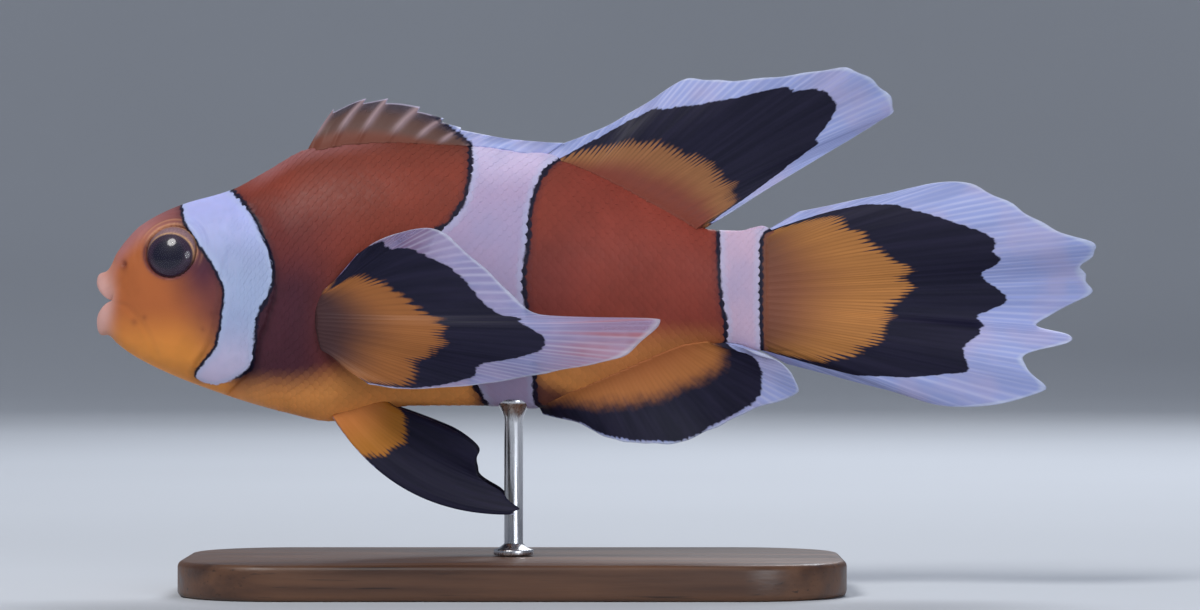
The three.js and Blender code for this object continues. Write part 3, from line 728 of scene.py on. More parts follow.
TAIL_RAYS = [
    (55, 5, 59.8, 7.8, 0, 0.3, 0.36), (55.4, 4.6, 66.6, 9.2, 0.01, 0.51, 0.7),
    (55.6, 4, 73, 10.4, 0.02, 0.43, 0.64), (55.8, 3.4, 77.4, 8.8, 0.02, 0.41, 0.72),
    (56, 2.7, 81, 6.5, 0.01, 0.44, 0.78), (56, 2, 85.2, 4.6, 0, 0.44, 0.69),
    (56, 1.3, 84, 2.9, 0, 0.455, 0.69), (56, 0.6, 85, 1, 0, 0.44, 0.73), (56, 0, 80.4, -1.8, 0, 0.46, 0.79),
    (56, -0.7, 83.4, -3, 0, 0.42, 0.71), (56, -1.3, 78.8, -4.8, 0, 0.44, 0.775),
    (55.8, -1.9, 80.7, -7.3, 0, 0.38, 0.74), (55.6, -2.4, 73.4, -8.9, 0, 0.36, 0.58),
    (55.4, -2.8, 67.2, -7.4, 0, 0.45, 0.62), (55, -3.2, 58.8, -5.2, 0, 0.3, 0.36),
]
ANAL_RAYS = [
    (37, -7.4, 38, -9.5, 0, 0.35, 0.93), (38.8, -6.8, 41, -10.2, 0, 0.42, 0.94),
    (40.6, -6, 43.4, -11.4, 0, 0.49, 0.95), (42.6, -5.2, 46, -11.9, 0, 0.475, 0.96),
    (44.6, -4.4, 49, -12, 0, 0.495, 0.97), (46.6, -3.8, 52.4, -10.8, 0, 0.485, 0.96),
    (48.2, -3.2, 56, -9.1, 0, 0.48, 0.94), (49.4, -2.8, 59.8, -7.5, 0, 0.38, 0.7),
    (50, -2.6, 58.4, -5.2, 0, 0.36, 0.68), (50.4, -2.4, 55.2, -3.9, 0, 0.4, 0.65),
]
PECTORAL_RAYS = [
    (19.7, 0.8, 22.6, 4.1, 0, 0.3, 1.02), (19.6, 0.4, 24.8, 5.4, 0, 0.14, 0.93),
    (19.4, 0, 28.6, 6.3, 0.03, 0.31, 0.69), (19.3, -0.4, 33.2, 3, 0.06, 0.38, 0.8),
    (19.2, -0.9, 38.4, -1, -0.01, 0.495, 0.81), (19.2, -1.4, 48.1, -1.4, -0.01, 0.35, 0.585),
    (19.2, -1.9, 44.4, -4.6, 0, 0.42, 0.745), (19.3, -2.4, 38.6, -5.8, 0, 0.48, 0.74),
    (19.4, -2.9, 33, -6.8, 0, 0.59, 0.9), (19.6, -3.4, 27, -7.2, -0.03, 0.88, 0.95),
    (19.8, -3.9, 23.6, -6.8, -0.04, 0.9, 0.95),
]
PELVIC_RAYS = [
    (20.2, -9.7, 35.7, -17.8, -0.14, 0.2, 0.98), (21, -9.1, 36, -17.3, -0.11, 0.28, 1.05),
    (21.8, -8.7, 34.5, -15.9, -0.07, 0.36, 1.05), (22.5, -8.5, 32.4, -14.2, -0.02, 0.4, 1.05),
    (23, -8.4, 32.6, -12.6, 0.02, 0.34, 1.05), (23.4, -8.3, 30.6, -10.8, 0.02, 0.3, 1.05),
    (23.8, -8.1, 26.2, -9.4, 0.02, 0.25, 1.05),
]


def wave(turns, phase, s):
    return np.sin(TURN * (turns * s + phase))


def median_swing(size, turns, phase):
    """A gentle ripple out of the fish's middle plane that grows towards the fin's edge."""
    return lambda s, t, reach: size * t**1.6 * wave(turns, phase, s)


def pectoral_swing(s, t, reach):
    return -(4.9 + 4.6 * (1 - np.exp(-reach / 7)) + 0.5 * t * wave(2, 0.1, s))


def pelvic_swing(s, t, reach):
    return -(1.2 + 3.2 * (1 - np.exp(-reach / 9)) + 0.3 * t * wave(1.5, 0.2, s))


# rays: the key rays; swing: how far the sheet lies out of the middle plane; to: the share of the key rays
# that is used; count: how many real rays; ridge: how far they stand out; notch: how deep the edge dips
# between them; root: thickness where the fin leaves the body; frill: how far the edge waves from side to
# side; columns and steps: quads across the rays and along them; clear: how much the membrane lets through;
# ragged: unevenness of the colours' edges as a share of the rays; spike and soft: length of the colour's
# spikes and of its fading, in mm; streak: how streaked it is; inner and outer: the root's colour and the
# colour it turns to; pure: share of the way before it starts to turn; dim: how much darker it is at the
# first and last rays; hem: width of a white hem along the first ray
FIN_DEFAULTS = dict(to=1, root=0.8, columns=240, clear=0.3, pure=0.1, dim=0, hem=-FAR, soft=0.35)
FINS = {
    "dorsal_fin_spiny": dict(
        rays=SPINY_RAYS, swing=median_swing(0.4, 1.53, 0), to=0.98, count=8, ridge=0.14, notch=0.11, steps=44,
        clear=0.4, frill=0, ragged=0, spike=0.1, soft=0.3, streak=0, inner=SPINY_RED, outer=SPINY_BROWN),
    # The soft dorsal's root red carries painted shade.
    "dorsal_fin_soft": dict(
        rays=SOFT_RAYS, swing=median_swing(1.1, 1.6, 0), count=16, ridge=0.016, notch=0.01, steps=90,
        frill=0.08, ragged=0.025, spike=0.7, streak=1, pure=0.3, inner=DORSAL_RED_SHADED, outer=DORSAL_ORANGE),
    "tail_fin": dict(
        rays=TAIL_RAYS, swing=median_swing(1.3, 2.2, 0.1), count=18, ridge=0.016, root=0.1, notch=0.012,
        columns=288, steps=110, frill=0.1, ragged=0.025, spike=0.75, streak=1, dim=0.4, inner=TAIL_BROWN,
        outer=TAIL_GOLD),
    "anal_fin": dict(
        rays=ANAL_RAYS, swing=median_swing(0.9, 1.5, 0.3), count=14, ridge=0.012, notch=0.008, columns=210,
        steps=64, frill=0.05, ragged=0.015, spike=0.05, soft=1.0, streak=0.3, inner=ANAL_ORANGE,
        outer=ANAL_GOLD),
    "pectoral_fin": dict(
        rays=PECTORAL_RAYS, swing=pectoral_swing, count=17, ridge=0.014, root=0.7, notch=0.008, steps=84,
        clear=0.55, frill=0.06, ragged=0.02, spike=0.6, soft=0.4, streak=0.5, hem=0.22, inner=PECTORAL_MAROON,
        outer=PECTORAL_ORANGE),
    "pelvic_fin": dict(
        rays=PELVIC_RAYS, swing=pelvic_swing, count=6, ridge=0.03, root=0.7, notch=0.02, columns=110,
        steps=80, clear=0.1, frill=0.05, ragged=0.02, spike=0.3, streak=0.5, inner=PELVIC_ORANGE,
        outer=PELVIC_GOLD),
}
SHEET_HALF = (0.09, 0.035)  # half thickness of the membrane near the root and at the edge
ROOT_LENGTH = 2.6  # how far out from the body the thick root reaches
THIN_RIDGE = 0.35  # what is left of a ridge's height at its ray's tip
TAIL_JOIN, TAIL_FADING = 57.1, 1.8  # where the flesh runs out into the tail fin, and how quickly
COLLARS = ("fin_dorsal_fin_spiny", "fin_dorsal_fin_soft", "fin_anal_fin")  # fins with flesh round their roots
COLLAR_DEPTH, COLLAR_FADING = 0.5, 1.1


def flesh_level(x, z):
    """Height in the flesh from -1 on the belly over 0 where it is widest to 1 on the back."""
    low, high = along(BELLY, x), along(BACK, x)
    middle = mix(low, high, WIDEST_LEVEL)
    return np.where(z > middle, (z - middle) / (high - middle), (z - middle) / (middle - low))


def root_swelling(name, points):
    """How far the body's flesh swells out each face of a middle fin, where the fin grows out of it."""
    x, z = points[..., 0], points[..., 2]
    if name == "fin_tail_fin":
        round_off = np.sqrt(np.clip(1 - flesh_level(TAIL_JOIN, z) ** 2, 0, 1))
        fading = np.exp(np.minimum(TAIL_JOIN - x, 0) / TAIL_FADING)
        return along(HALF_WIDTH, TAIL_JOIN) * smooth(TAIL_JOIN - 0.8, TAIL_JOIN, x) * fading * round_off
    if name not in COLLARS:
        return 0
    below = name == "fin_anal_fin"
    edge, keel = (BELLY, BELLY_KEEL) if below else (BACK, BACK_KEEL)
    brim = along(edge, x) + (COLLAR_DEPTH if below else -COLLAR_DEPTH)
    level = flesh_level(x, brim)
    width = along(HALF_WIDTH, x) * np.sqrt(1 - level**2) ** along(keel, x)
    outside = (z < brim) if below else (z > brim)
    return 0.95 * width * np.where(outside, np.exp(-np.abs(z - brim) / COLLAR_FADING), 0.8)


def across_rays(fin, column, s):
    """One column of the fin's key rays, carried smoothly from ray to ray."""
    rows = np.array(fin["rays"])
    return along(np.stack([np.linspace(0, 1, len(rows)), rows[:, column]], axis=1), s)


def fin_sheet(fin, s, t):
    """Points of the fin's middle surface and its rays' lengths: s runs across the rays and t along them."""
    root_x, root_z, tip_x, tip_z, bow = (across_rays(fin, column, s) for column in range(5))
    ray_x, ray_z = tip_x - root_x, tip_z - root_z
    length = np.hypot(ray_x, ray_z)
    bend = 4 * t * (1 - t) * bow
    x = root_x + ray_x * t - ray_z * bend
    y = fin["swing"](s, t, length * t) + fin["frill"] * t**3 * wave(fin["count"] / 2.6, 0.3, s)
    z = root_z + ray_z * t + ray_x * bend
    return np.stack(np.broadcast_arrays(x, y, z), axis=-1), length


def nearest_spine(s, fin):
    """Shares of the gap between two spines from here to the nearer spine."""
    share = (s / fin["to"] * fin["count"]) % 1
    return np.minimum(share, 1 - share)


def between_rays(ray):
    """0 on a ray and 1 half way to the next."""
    return 0.5 - 0.5 * np.cos(TURN * ray)


def fin_reach(fin, s, t, ray, noise):
    """Share of its ray at which each point lies: the edge dips between the rays, whose tips are uneven."""
    dip = between_rays(ray)
    knots = np.linspace(0, 1, fin["count"] + 1)
    tips = np.interp(s, knots, noise.uniform(-0.01, 0.004, len(knots)))
    if fin["rays"] is SPINY_RAYS:
        share = ray % 1
        dip = smooth(0, 0.12, share) * (1 - share) * smooth(0.78, 0.55, s)
        tips = 0
    return t * (1 + t**3 * (tips - fin["notch"] * dip))


def fin_half(name, fin, points, distance, s, t, reach, ray):
    """Half the fin's thickness: membrane, swollen root and the rays' ridges, all of it thinner at the rim."""
    to = fin["to"]
    ends = smooth(0, 0.06, s) * smooth(to, to - 0.06, s)
    root = fin["root"] / 2 * (1 - smooth(0, ROOT_LENGTH, distance)) ** 1.4
    half = mix(*SHEET_HALF, reach) + np.maximum(root, root_swelling(name, points) * ends)
    if fin["rays"] is SPINY_RAYS:
        profile = bump(nearest_spine(s, fin), 0.1)
    else:
        branched = (0.5 + 0.5 * np.cos(2 * TURN * ray)) ** 2 * 0.6
        profile = mix((1 - between_rays(ray)) ** 2, branched, smooth(0.4, 0.75, reach))
    ridge = profile * fin["ridge"] * mix(1, THIN_RIDGE, reach)
    rim = smooth(0, 0.02, s) * smooth(to, to - 0.02, s) * smooth(1.004, 0.97, t)
    return (half + ridge) * mix(0.35, 1, rim)


def fin_colour_fields(fin, s, t, length, points, noise):
    """Millimetres inside the inner colour and inside the white, the inner colour, and how clear it is."""
    knots = np.linspace(0, 1, fin["count"] * 2 + 1)
    uneven = [np.interp(s, knots, noise.uniform(-1, 1, len(knots))) * fin["ragged"] for _ in range(2)]
    inner_end = across_rays(fin, 5, s) + uneven[0]
    black_end = across_rays(fin, 6, s) + uneven[1]
    if fin["rays"] is SPINY_RAYS:
        white, black = band_fields(points[..., 0], points[..., 2])
        spine = bump(nearest_spine(s, fin), 0.16) * smooth(0.3, 0.6, t)
        tint = mix(fin["inner"], fin["outer"], smooth(0.3, 0.5, t)[..., None])
        tint = mix(tint, SPINE_DARK, 0.8 * smooth(0.66, 0.95, t)[..., None])
        tint = mix(tint, SPINE_PALE, spine[..., None])
        tint = mix(tint, SPINE_EDGE, smooth(0.955, 0.985, t)[..., None])
        return -black, white, tint, fin["clear"] * smooth(0.5, 0.95, t) * (1 - spine)
    depth = np.clip(t / np.maximum(inner_end, 0.05), 0, 1)
    tint = mix(fin["inner"], fin["outer"], smooth(fin["pure"], 0.8, depth)[..., None])
    tint = tint * (1 - fin["dim"] * np.abs(2 * s - 1) ** 1.5)[..., None]
    from_first = points - points[:1]
    hem = fin["hem"] * smooth(0.3, 0.6, t) - np.hypot(from_first[..., 0], from_first[..., 2])
    white = np.maximum((t - black_end) * length, hem)
    return (inner_end - t) * length, white, tint, fin["clear"] * smooth(0.25, 0.9, t)


def fin_pale(points):
    """The fins' white, which turns pink along the pectorals' trailing ends."""
    x, y, z = np.moveaxis(points, -1, 0)
    pectoral = smooth(3.5, 5, np.abs(y))
    colour = mix(FIN_WHITE, FIN_GREY, pectoral[..., None])
    colour = mix(colour, FIN_PINK, (pectoral * smooth(37, 44, x))[..., None])
    return mix(colour, FIN_LILAC, (pectoral * smooth(32, 26, x) * smooth(-1, 2, z))[..., None])


def sheet_faces(rows, columns):
    """Faces of a thin closed sheet: a front grid of points, a back grid, and a wall between their borders."""
    count = rows * columns
    border = np.concatenate([
        np.arange(rows) * columns, (rows - 1) * columns + np.arange(1, columns),
        np.arange(rows - 2, -1, -1) * columns + columns - 1, np.arange(columns - 2, 0, -1),
    ])
    following = np.roll(border, -1)
    wall = np.stack([border, border + count, following + count, following], axis=1)
    front, back = grid_faces(rows, columns, flip=True), grid_faces(rows, columns, start=count)
    return np.concatenate([front, back, wall])


def add_fin(name, node, fin, material, side=-1):
    """A thin closed fin with its rays as ridges on both faces."""
    rows, columns = fin["columns"] + 1, fin["steps"] + 1
    s = np.linspace(0, fin["to"], rows)[:, None]
    t = np.linspace(0, 1, columns)[None, :]
    ray = s / fin["to"] * fin["count"] * np.ones_like(t)
    noise = np.random.default_rng(len(name) * 31 + fin["count"])
    reach = fin_reach(fin, s, t, ray, noise)
    points, length = fin_sheet(fin, s, reach)
    normal = unit(np.cross(np.gradient(points, axis=0), np.gradient(points, axis=1)))
    half = fin_half(name, fin, points, length * reach, s, t, reach, ray)[..., None]
    cloud = np.concatenate([(points + normal * half).reshape(-1, 3), (points - normal * half).reshape(-1, 3)])
    quads = sheet_faces(rows, columns)
    if side > 0:
        cloud[:, 1] *= -1
        quads = quads[:, ::-1]

    # The front face lies in the chart's left half and the back face in its right half.
    count = rows * columns
    chart = pairs(CHART_START + 0.48 * (s / fin["to"]), CHART_START + CHART_SPAN * t).reshape(-1, 2)
    corner_uv = chart[quads % count]
    corner_uv[quads.min(axis=1) >= count, :, 0] += 0.5

    share = t * np.ones_like(s) if fin["rays"] is SPINY_RAYS else reach
    orange, white, tint, clear = fin_colour_fields(fin, s, share, length, points, noise)
    fields = {"orange": orange, "white": white, "clear": clear, "ray": ray, "reach": reach}
    for setting in ("spike", "soft", "streak"):
        fields[setting] = np.full(ray.shape, fin[setting])
    fields = {field: np.tile(values.ravel(), 2) for field, values in fields.items()}
    colours = {"tint": tint, "pale": fin_pale(points)}
    colours = {field: np.tile(values.reshape(-1, 3), (2, 1)) for field, values in colours.items()}
    make_piece(name, to_model(cloud), quads.tolist(), material, [node], corner_uv, fields, colours)


def add_fins(material):
    for name, settings in FINS.items():
        fin = {**FIN_DEFAULTS, **settings}
        if name in ("pectoral_fin", "pelvic_fin"):
            for side, word in ((-1, "left"), (1, "right")):
                add_fin(f"fin_{name}_{word}", f"{name}_{word}", fin, material, side)
        else:
            add_fin(f"fin_{name}", name, fin, material)


# ---------- eyes ----------
EYE_SEGMENTS = 96
EYEBALL_RINGS, CORNEA_RINGS = 60, 40
EYEBALL_WIDTH, EYEBALL_HEIGHT, CORNEA_HEIGHT = 0.985, 0.93, 1.02  # shares of the eye's own radius and depth


def add_eye(side, eye_material, cornea_material):
    """An eyeball with a coloured iris, under a clear cornea."""
    word = "left" if side < 0 else "right"
    centre, back, up, out = eye_frame(side)
    ring = circle(np.arange(EYE_SEGMENTS) / EYE_SEGMENTS * TURN)
    flat_ring = ring[:, :1] * back + ring[:, 1:] * up

    def dome(radii, heights):
        points = centre + radii[1:-1, None, None] * flat_ring + heights[1:-1, None, None] * out
        poles = [centre + heights[0] * out, centre + heights[-1] * out]
        faces = closed_faces(len(radii) - 2, EYE_SEGMENTS, flip=side < 0)
        return np.concatenate([points.reshape(-1, 3), poles]), faces

    def iris_colour(points):
        a, b, _ = eye_offsets(points, side)
        edge = smooth(2.12, 2.24, np.hypot(a, b))
        a, b = a + PUPIL_FORWARD, (b + PUPIL_DOWN) * IRIS_SQUASH
        r, angle = np.hypot(a, b), np.arctan2(b, a)
        crescent = smooth(-0.2, 0.9, np.cos(angle - math.radians(66)))
        streak = 0.5 + 0.5 * np.sin(angle * 37 + 3 * np.sin(angle * 5))
        rim = np.clip(bump(r - IRIS_RADIUS - 0.1, 0.09) + edge, 0, 1)
        dark = mix(PUPIL_BLACK, IRIS_PURPLE, smooth(PUPIL_RADIUS - 0.25, PUPIL_RADIUS + 0.3, r)[:, None])
        pale = mix(mix(IRIS_MAUVE, IRIS_ROSE, 0.4 + 0.2 * streak[:, None]), IRIS_GOLD, rim[:, None])
        amount = smooth(IRIS_RADIUS - 0.05, IRIS_RADIUS + 0.08, r) * (0.15 + 0.85 * crescent)
        return mix(dark, pale, amount[:, None])

    whole = np.linspace(0, math.pi, EYEBALL_RINGS)
    radii, heights = EYE_RADIUS * np.sin(whole) * EYEBALL_WIDTH, EYE_DEPTH * np.cos(whole) * EYEBALL_HEIGHT
    points, faces = dome(radii, heights)
    make_piece(f"eyeball_{word}", to_model(points), faces, eye_material, [f"eye_{word}"],
               colours={"tint": iris_colour(points)})

    front = np.linspace(0, math.pi * 0.5, CORNEA_RINGS)
    radii = EYE_RADIUS * np.append(np.sin(front), 0)
    heights = EYE_DEPTH * CORNEA_HEIGHT * np.append(np.cos(front), 0.0)
    points, faces = dome(radii, heights)
    make_piece(f"cornea_{word}", to_model(points), faces, cornea_material)


# ---------- materials ----------
class Shader:
    """A few words for building a material's nodes."""

    def __init__(self, name):
        self.material = bpy.data.materials.new(name)
        self.material.use_nodes = True
        self.tree = self.material.node_tree
        self.surface = self.tree.nodes["Principled BSDF"]
        self.place = self.node("TexCoord").outputs["Object"]

    def node(self, kind, settings=None, sockets=None):
        made = self.tree.nodes.new("ShaderNode" + kind)
        for key, value in (settings or {}).items():
            setattr(made, key, value)
        for key, value in (sockets or {}).items():
            self.plug(made.inputs[key], value)
        return made

    def plug(self, socket, value):
        if isinstance(value, bpy.types.NodeSocket):
            self.tree.links.new(value, socket)
        elif isinstance(value, np.ndarray):
            socket.default_value = (*value, 1.0)
        else:
            socket.default_value = value

    def set(self, **sockets):
        for key, value in sockets.items():
            self.plug(self.surface.inputs[key.replace("_", " ")], value)

    def field(self, name):
        return self.node("Attribute", {"attribute_name": name}).outputs["Fac"]

    def colour(self, name):
        return self.node("Attribute", {"attribute_name": name}).outputs["Color"]

    def math(self, operation, *values):
        return self.node("Math", {"operation": operation}, dict(enumerate(values))).outputs[0]

    def times(self, a, b):
        return self.math("MULTIPLY", a, b)

    def plus(self, a, b):
        return self.math("ADD", a, b)

    def minus(self, a, b):
        return self.math("SUBTRACT", a, b)

    def between(self, a, b, amount):
        return self.node("Mix", None, {0: amount, 2: a, 3: b}).outputs[0]

    def ease(self, value, low, high, out_low=0.0, out_high=1.0):
        sockets = {"Value": value, "From Min": low, "From Max": high, "To Min": out_low, "To Max": out_high}
        return self.node("MapRange", {"interpolation_type": "SMOOTHSTEP"}, sockets).outputs["Result"]

    def blend(self, a, b, amount, mode="MIX"):
        made = self.node("Mix", {"data_type": "RGBA", "blend_type": mode})
        for index, value in ((0, amount), (6, a), (7, b)):
            self.plug(made.inputs[index], value)
        return made.outputs[2]

    def shaded(self, colour, tone):
        return self.blend(colour, self.rgb(tone, tone, tone), 1.0, "MULTIPLY")

    def rgb(self, red, green, blue):
        return self.node("CombineColor", None, {0: red, 1: green, 2: blue}).outputs[0]

    def noise(self, per_mm, detail=3.0, stretch=None):
        place = self.place
        if stretch:
            place = self.node("Mapping", None, {"Vector": place, "Scale": stretch}).outputs["Vector"]
        sockets = {"Vector": place, "Scale": per_mm / MM, "Detail": detail}
        return self.node("TexNoise", None, sockets).outputs["Fac"]

    def bumped(self, height, distance_mm, strength):
        sockets = {"Height": height, "Distance": distance_mm * MM, "Strength": strength}
        return self.node("Bump", None, sockets).outputs["Normal"]


def skin_material():
    """Skin and scales: the ground colour, then the black margins, then the white of the bands."""
    s = Shader("clownfish_skin")
    fine, broad = s.noise(2.2, 2.0), s.noise(0.22, 3.0)
    rear, grain = s.field("rear"), s.field("grain")  # set on the scales alone
    wobble = s.times(s.minus(fine, 0.5), 0.3)
    tone = s.plus(s.ease(broad, 0.3, 0.7, 0.9, 1.1), s.times(grain, 0.035))
    ground = s.shaded(s.colour("tint"), s.plus(tone, s.times(rear, 0.07)))
    black = s.blend(BLACK, SCALE_BLACK, s.times(rear, 0.3))
    margin = s.plus(s.field("black"), wobble)
    in_black = s.plus(s.ease(margin, -0.14, 0.06, 0.0, 0.7), s.ease(margin, -0.7, 0.0, 0.0, 0.3))
    in_white = s.ease(s.plus(s.field("white"), wobble), -0.06, 0.1)
    pale = s.blend(s.colour("pale"), PALE_CLOUD, s.ease(broad, 0.35, 0.75, 0.0, 0.4))
    pale = s.blend(pale, PALE_RIM, s.ease(s.field("white"), 0.7, 0.12, 0.0, 0.4))
    s.set(Base_Color=s.blend(s.blend(ground, black, in_black), pale, in_white),
          Roughness=s.ease(fine, 0.2, 0.8, 0.46, 0.6), Subsurface_Weight=0.1, Subsurface_Scale=0.6 * MM,
          Subsurface_Radius=(1.0, 0.45, 0.3), Coat_Weight=0.04, Coat_Roughness=0.3, Specular_IOR_Level=0.18,
          Normal=s.bumped(s.noise(5.0, 3.0), 0.015, 0.5))
    return s.material


def fin_material():
    """Fins: an inner orange, a black field and a white end, each edge drawn out into hairs along the rays."""
    s = Shader("clownfish_fin")
    ray, reach = s.field("ray"), s.field("reach")

    def lines(per_ray):
        return s.math("MULTIPLY_ADD", s.math("COSINE", s.times(ray, TURN * per_ray)), 0.5, 0.5)

    # Rays branch in two, and then in four, on their way out.
    finest = lines(4)
    pattern = s.between(lines(1), lines(2), s.ease(reach, 0.3, 0.6))
    pattern = s.between(pattern, finest, s.ease(reach, 0.6, 0.85))
    place = s.node("CombineXYZ", None, {0: s.times(ray, 2.4), 1: s.times(reach, 1.6)}).outputs[0]
    silk = s.node("TexNoise", None, {"Vector": place, "Scale": 1.0, "Detail": 4.0}).outputs["Fac"]
    fine, broad = s.noise(1.6, 3.0), s.noise(0.25, 2.0)
    hair = s.times(s.math("POWER", s.minus(1.0, finest), 2.5), s.ease(silk, 0.3, 0.7, 0.5, 1.9))
    wobble = s.times(s.minus(fine, 0.5), 0.9)

    inner = s.times(s.minus(0.35, hair), s.field("spike"))
    edge = s.plus(inner, s.plus(s.field("orange"), wobble))
    in_orange = s.ease(s.math("DIVIDE", edge, s.field("soft")), -1.0, 1.0)
    edge = s.plus(s.math("MULTIPLY_ADD", hair, -0.07, s.field("white")), s.times(wobble, 0.6))
    in_white = s.ease(edge, -0.1, 0.14)

    streak = s.minus(s.ease(silk, 0.3, 0.7, 0.86, 1.08), s.times(hair, 0.22))
    streak = s.between(1.0, streak, s.times(s.field("streak"), s.ease(reach, 0.1, 0.4)))
    orange = s.shaded(s.colour("tint"), streak)
    black = s.blend(BLACK, FIN_BLACK_SILK, s.ease(silk, 0.35, 0.7, 0.0, 0.7))
    pale = s.blend(s.colour("pale"), FIN_BLUE_SILK, s.ease(silk, 0.42, 0.62, 0.55, 0.0))
    pale = s.blend(pale, FIN_HAIR, s.times(hair, 0.2))
    pale = s.blend(pale, FIN_CLOUD, s.ease(broad, 0.4, 0.7, 0.0, 0.5))
    pale = s.blend(pale, FIN_EDGE, s.ease(reach, 0.965, 0.99, 0.0, 0.5))

    # The white lets some light through, and so does the orange where it has no streaks.
    see_through = s.math("MAXIMUM", in_white, s.times(s.minus(1.0, s.field("streak")), in_orange))
    thin = s.times(s.field("clear"), s.ease(silk, 0.35, 0.65, 1.0, 0.6))
    joints = s.math("COSINE", s.times(reach, TURN * 46))
    relief = s.math("MULTIPLY_ADD", joints, s.times(pattern, 0.08), s.plus(pattern, finest))
    s.set(Base_Color=s.blend(s.blend(black, orange, in_orange), pale, in_white), Roughness=0.56,
          Alpha=s.minus(1.0, s.times(thin, see_through)), Specular_IOR_Level=0.2, Coat_Weight=0.03,
          Coat_Roughness=0.3, Normal=s.bumped(relief, 0.01, 0.35))
    return s.material


def eye_material():
    s = Shader("clownfish_eye")
    colour = s.shaded(s.colour("tint"), s.ease(s.noise(6.0, 2.0), 0.3, 0.7, 0.8, 1.1))
    s.set(Base_Color=colour, Roughness=0.5, Specular_IOR_Level=0.2, Coat_Weight=0.55, Coat_Roughness=0.09)
    return s.material


def cornea_material():
    s = Shader("clownfish_cornea")
    haze = s.ease(s.noise(0.8, 1.0), 0.2, 0.8, 0.01, 0.03)
    s.set(Base_Color=CORNEA_GREY, Roughness=0.06, Alpha=haze, Coat_Weight=0.5, Coat_Roughness=0.03)
    return s.material


def wood_material():
    s = Shader("stand_wood")
    warp = s.noise(0.05, 2.0, (0.35, 1.0, 1.0))
    ring = s.noise(0.55, 6.0, (0.06, 1.0, 1.0))
    pore = s.noise(3.0, 2.0, (0.04, 1.0, 1.0))
    colour = s.blend(WOOD_DARK, WOOD_LIGHT, s.ease(s.plus(ring, s.times(warp, 0.5)), 0.5, 1.0))
    colour = s.blend(colour, WOOD_PORE, s.ease(pore, 0.62, 0.75, 0.0, 0.7))
    s.set(Base_Color=colour, Roughness=s.ease(ring, 0.3, 0.7, 0.34, 0.5), Normal=s.bumped(pore, 0.04, 0.5))
    return s.material


def steel_material():
    s = Shader("stand_steel")
    brush = s.noise(6.0, 3.0, (1.0, 1.0, 0.05))
    tone = s.ease(brush, 0.3, 0.7, 0.55, 0.72)
    s.set(Base_Color=s.rgb(tone, tone, s.times(tone, 1.03)), Metallic=1.0,
          Roughness=s.ease(brush, 0.3, 0.7, 0.22, 0.36), Normal=s.bumped(brush, 0.01, 0.4))
    return s.material


def backdrop_material():
    s = Shader("backdrop_paper")
    tone = s.ease(s.noise(0.004, 2.0), 0.3, 0.7, 0.53, 0.56)
    s.set(Base_Color=s.rgb(s.times(tone, 0.95), tone, s.times(tone, 1.08)), Roughness=0.9)
    return s.material


# ---------- stand ----------
ROD_SEGMENTS = 64
ROD_RADIUS, CUP_RADIUS, CUP_LENGTH = 0.8 * MM, 1.5 * MM, 2.0 * MM
BOARD_CORNER, BOARD_EASE = 9 * MM, 0.5 * MM
CORNER_POINTS, EASE_RINGS = 13, 5


def turned(name, profile, centre, material, node):
    """A solid turned about the upright line through centre, from (radius, height) rows in metres."""
    rows = np.array(profile)
    ring = circle(np.arange(ROD_SEGMENTS) / ROD_SEGMENTS * TURN)
    heights = np.broadcast_to(rows[1:-1, None, 1:], (len(rows) - 2, ROD_SEGMENTS, 1))
    points = np.concatenate([rows[1:-1, None, :1] * ring, heights], axis=2).reshape(-1, 3)
    points = np.concatenate([points, [[0, 0, rows[0, 1]], [0, 0, rows[-1, 1]]]]) + [*centre[:2], 0]
    piece = make_piece(name, points, closed_faces(len(rows) - 2, ROD_SEGMENTS), material, [node])
    bevel = piece.modifiers.new("edges", "BEVEL")
    bevel.width, bevel.segments = 0.08 * MM, 2
    bevel.limit_method, bevel.angle_limit = "ANGLE", math.radians(25)


def add_rod(material):
    """The rod, with a stepped collar at its foot and a small cup under the belly."""
    low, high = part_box("stand_rod")
    collar, foot, top = (high[0] - low[0]) / 2, low[2], high[2]
    neck, lip = top - CUP_LENGTH, top - 0.35 * MM
    profile = [(0, foot), (collar, foot), (collar, foot + 0.45 * MM), (collar * 0.72, foot + 0.62 * MM),
               (ROD_RADIUS, foot + 0.95 * MM), (ROD_RADIUS, neck)]
    for share in (0.3, 0.6, 0.8, 1.0):
        profile.append((mix(ROD_RADIUS, CUP_RADIUS, share**2), mix(neck, lip, share)))
    profile += [(CUP_RADIUS, top), (CUP_RADIUS * 0.8, top - 0.04 * MM), (0, top - 0.1 * MM)]
    turned("stand_rod_steel", profile, middle_of("stand_rod"), material, "stand_rod")


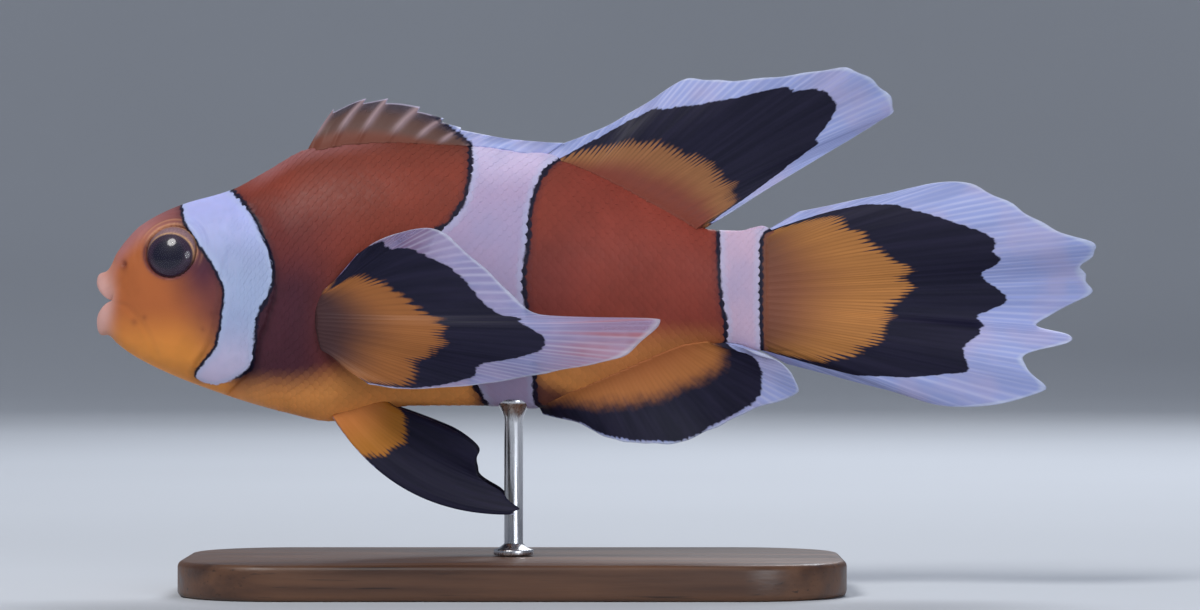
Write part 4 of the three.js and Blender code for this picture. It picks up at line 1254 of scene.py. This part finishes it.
def add_base(material):
    """The base board: a rounded rectangle with an eased upper and lower edge."""
    low, high = (np.array(corner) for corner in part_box("stand_base"))
    half = (high - low)[:2] / 2
    quarter_turn = np.linspace(0, math.pi / 2, CORNER_POINTS)

    def outline(inset):
        corners = []
        for quarter, signs in enumerate(((1, 1), (-1, 1), (-1, -1), (1, -1))):
            arc = circle(quarter_turn + quarter * math.pi / 2)
            corners.append(np.array(signs) * (half - BOARD_CORNER) + (BOARD_CORNER - inset) * arc)
        return np.concatenate(corners) + ((high + low) / 2)[:2]

    arc = BOARD_EASE * (1 - circle(np.linspace(0, math.pi / 2, EASE_RINGS)))
    levels = [(inset, low[2] + rise) for rise, inset in arc]
    levels += [(inset, high[2] - drop) for inset, drop in arc]
    around = 4 * CORNER_POINTS
    rings = [np.concatenate([outline(inset), np.full((around, 1), z)], axis=1) for inset, z in levels]
    last = (len(rings) - 1) * around
    faces = grid_faces(len(rings), around, wrap=True).tolist()
    faces += [list(range(around))[::-1], list(range(last, last + around))]
    make_piece("stand_base_board", np.concatenate(rings), faces, material, ["stand_base"])


# ---------- scene ----------
FRAME_WIDTH, CAMERA_DISTANCE = 102 * MM, 0.4
VIEW_X, VIEW_Z = 42.84, -0.17  # the middle of the view
SENSOR = 36.0
LIGHT_TARGET = (0.0, 0.0, 0.025)
LIGHTS = {  # place in metres, size, power and colour
    "key": ((-0.28, -0.42, 0.55), 0.26, 3.4, (1.0, 0.985, 0.96)),
    "fill": ((0.34, -0.62, 0.16), 0.3, 1.4, (0.88, 0.93, 1.0)),
    "rim": ((0.12, 0.4, 0.42), 0.3, 2.0, (0.92, 0.95, 1.0)),
}
FLOOR_RADIUS, FLOOR_BEND, WALL_HEIGHT = 0.7, 0.5, 1.1
BACKDROP_SEGMENTS, BEND_RINGS = 96, 16


def add_backdrop(material):
    """A round floor that sweeps up into a wall all the way round."""
    bend = [(math.sin(a), 1 - math.cos(a)) for a in np.linspace(0, math.pi / 2, BEND_RINGS)]
    profile = [(FLOOR_RADIUS + FLOOR_BEND * out, FLOOR_BEND * up) for out, up in bend]
    profile.append((FLOOR_RADIUS + FLOOR_BEND, WALL_HEIGHT))
    around = circle(np.arange(BACKDROP_SEGMENTS) / BACKDROP_SEGMENTS * TURN)
    points = np.array([(*(r * place), z) for r, z in profile for place in around])
    faces = grid_faces(len(profile), BACKDROP_SEGMENTS, wrap=True, flip=True).tolist()
    faces.append(list(range(BACKDROP_SEGMENTS)))
    backdrop = add_object("backdrop", make_mesh("backdrop", points, faces, material))


def add_lights():
    for name, (place, size, power, colour) in LIGHTS.items():
        light = bpy.data.lights.new(name, "AREA")
        light.shape, light.size, light.energy, light.color = "DISK", size, power, colour
        lamp = add_object(name, light)
        lamp.location = place
        direction = Vector(np.subtract(LIGHT_TARGET, place))
        lamp.rotation_euler = direction.to_track_quat("-Z", "Y").to_euler()
    world = bpy.data.worlds.new("studio")
    world.use_nodes = True
    background = world.node_tree.nodes["Background"]
    background.inputs["Color"].default_value = (0.8, 0.86, 1.0, 1)
    background.inputs["Strength"].default_value = 0.3
    bpy.context.scene.world = world
    bpy.context.scene.view_settings.view_transform = "Standard"


def add_camera():
    camera = bpy.data.cameras.new("camera")
    camera.sensor_width = SENSOR
    camera.lens = SENSOR * CAMERA_DISTANCE / FRAME_WIDTH
    camera.clip_start, camera.clip_end = 0.01, 10
    eye = add_object("camera", camera)
    eye.location = ((FISH_ORIGIN[0] + VIEW_X) * MM, -CAMERA_DISTANCE, (FISH_ORIGIN[2] + VIEW_Z) * MM)
    eye.rotation_euler = (math.pi / 2, 0, 0)
    bpy.context.scene.camera = eye


add_camera()
add_lights()
add_backdrop(backdrop_material())
skin = skin_material()
skin_points, skin_normals = skin_grid()
add_skin(skin_points, skin)
skin_map = SkinMap(skin_points, skin_normals)
for flank in (-1, 1):
    add_scales(flank, skin_map, skin)
add_fins(fin_material())
eye_look, cornea_look = eye_material(), cornea_material()
for flank in (-1, 1):
    add_eye(flank, eye_look, cornea_look)
add_base(wood_material())
add_rod(steel_material())
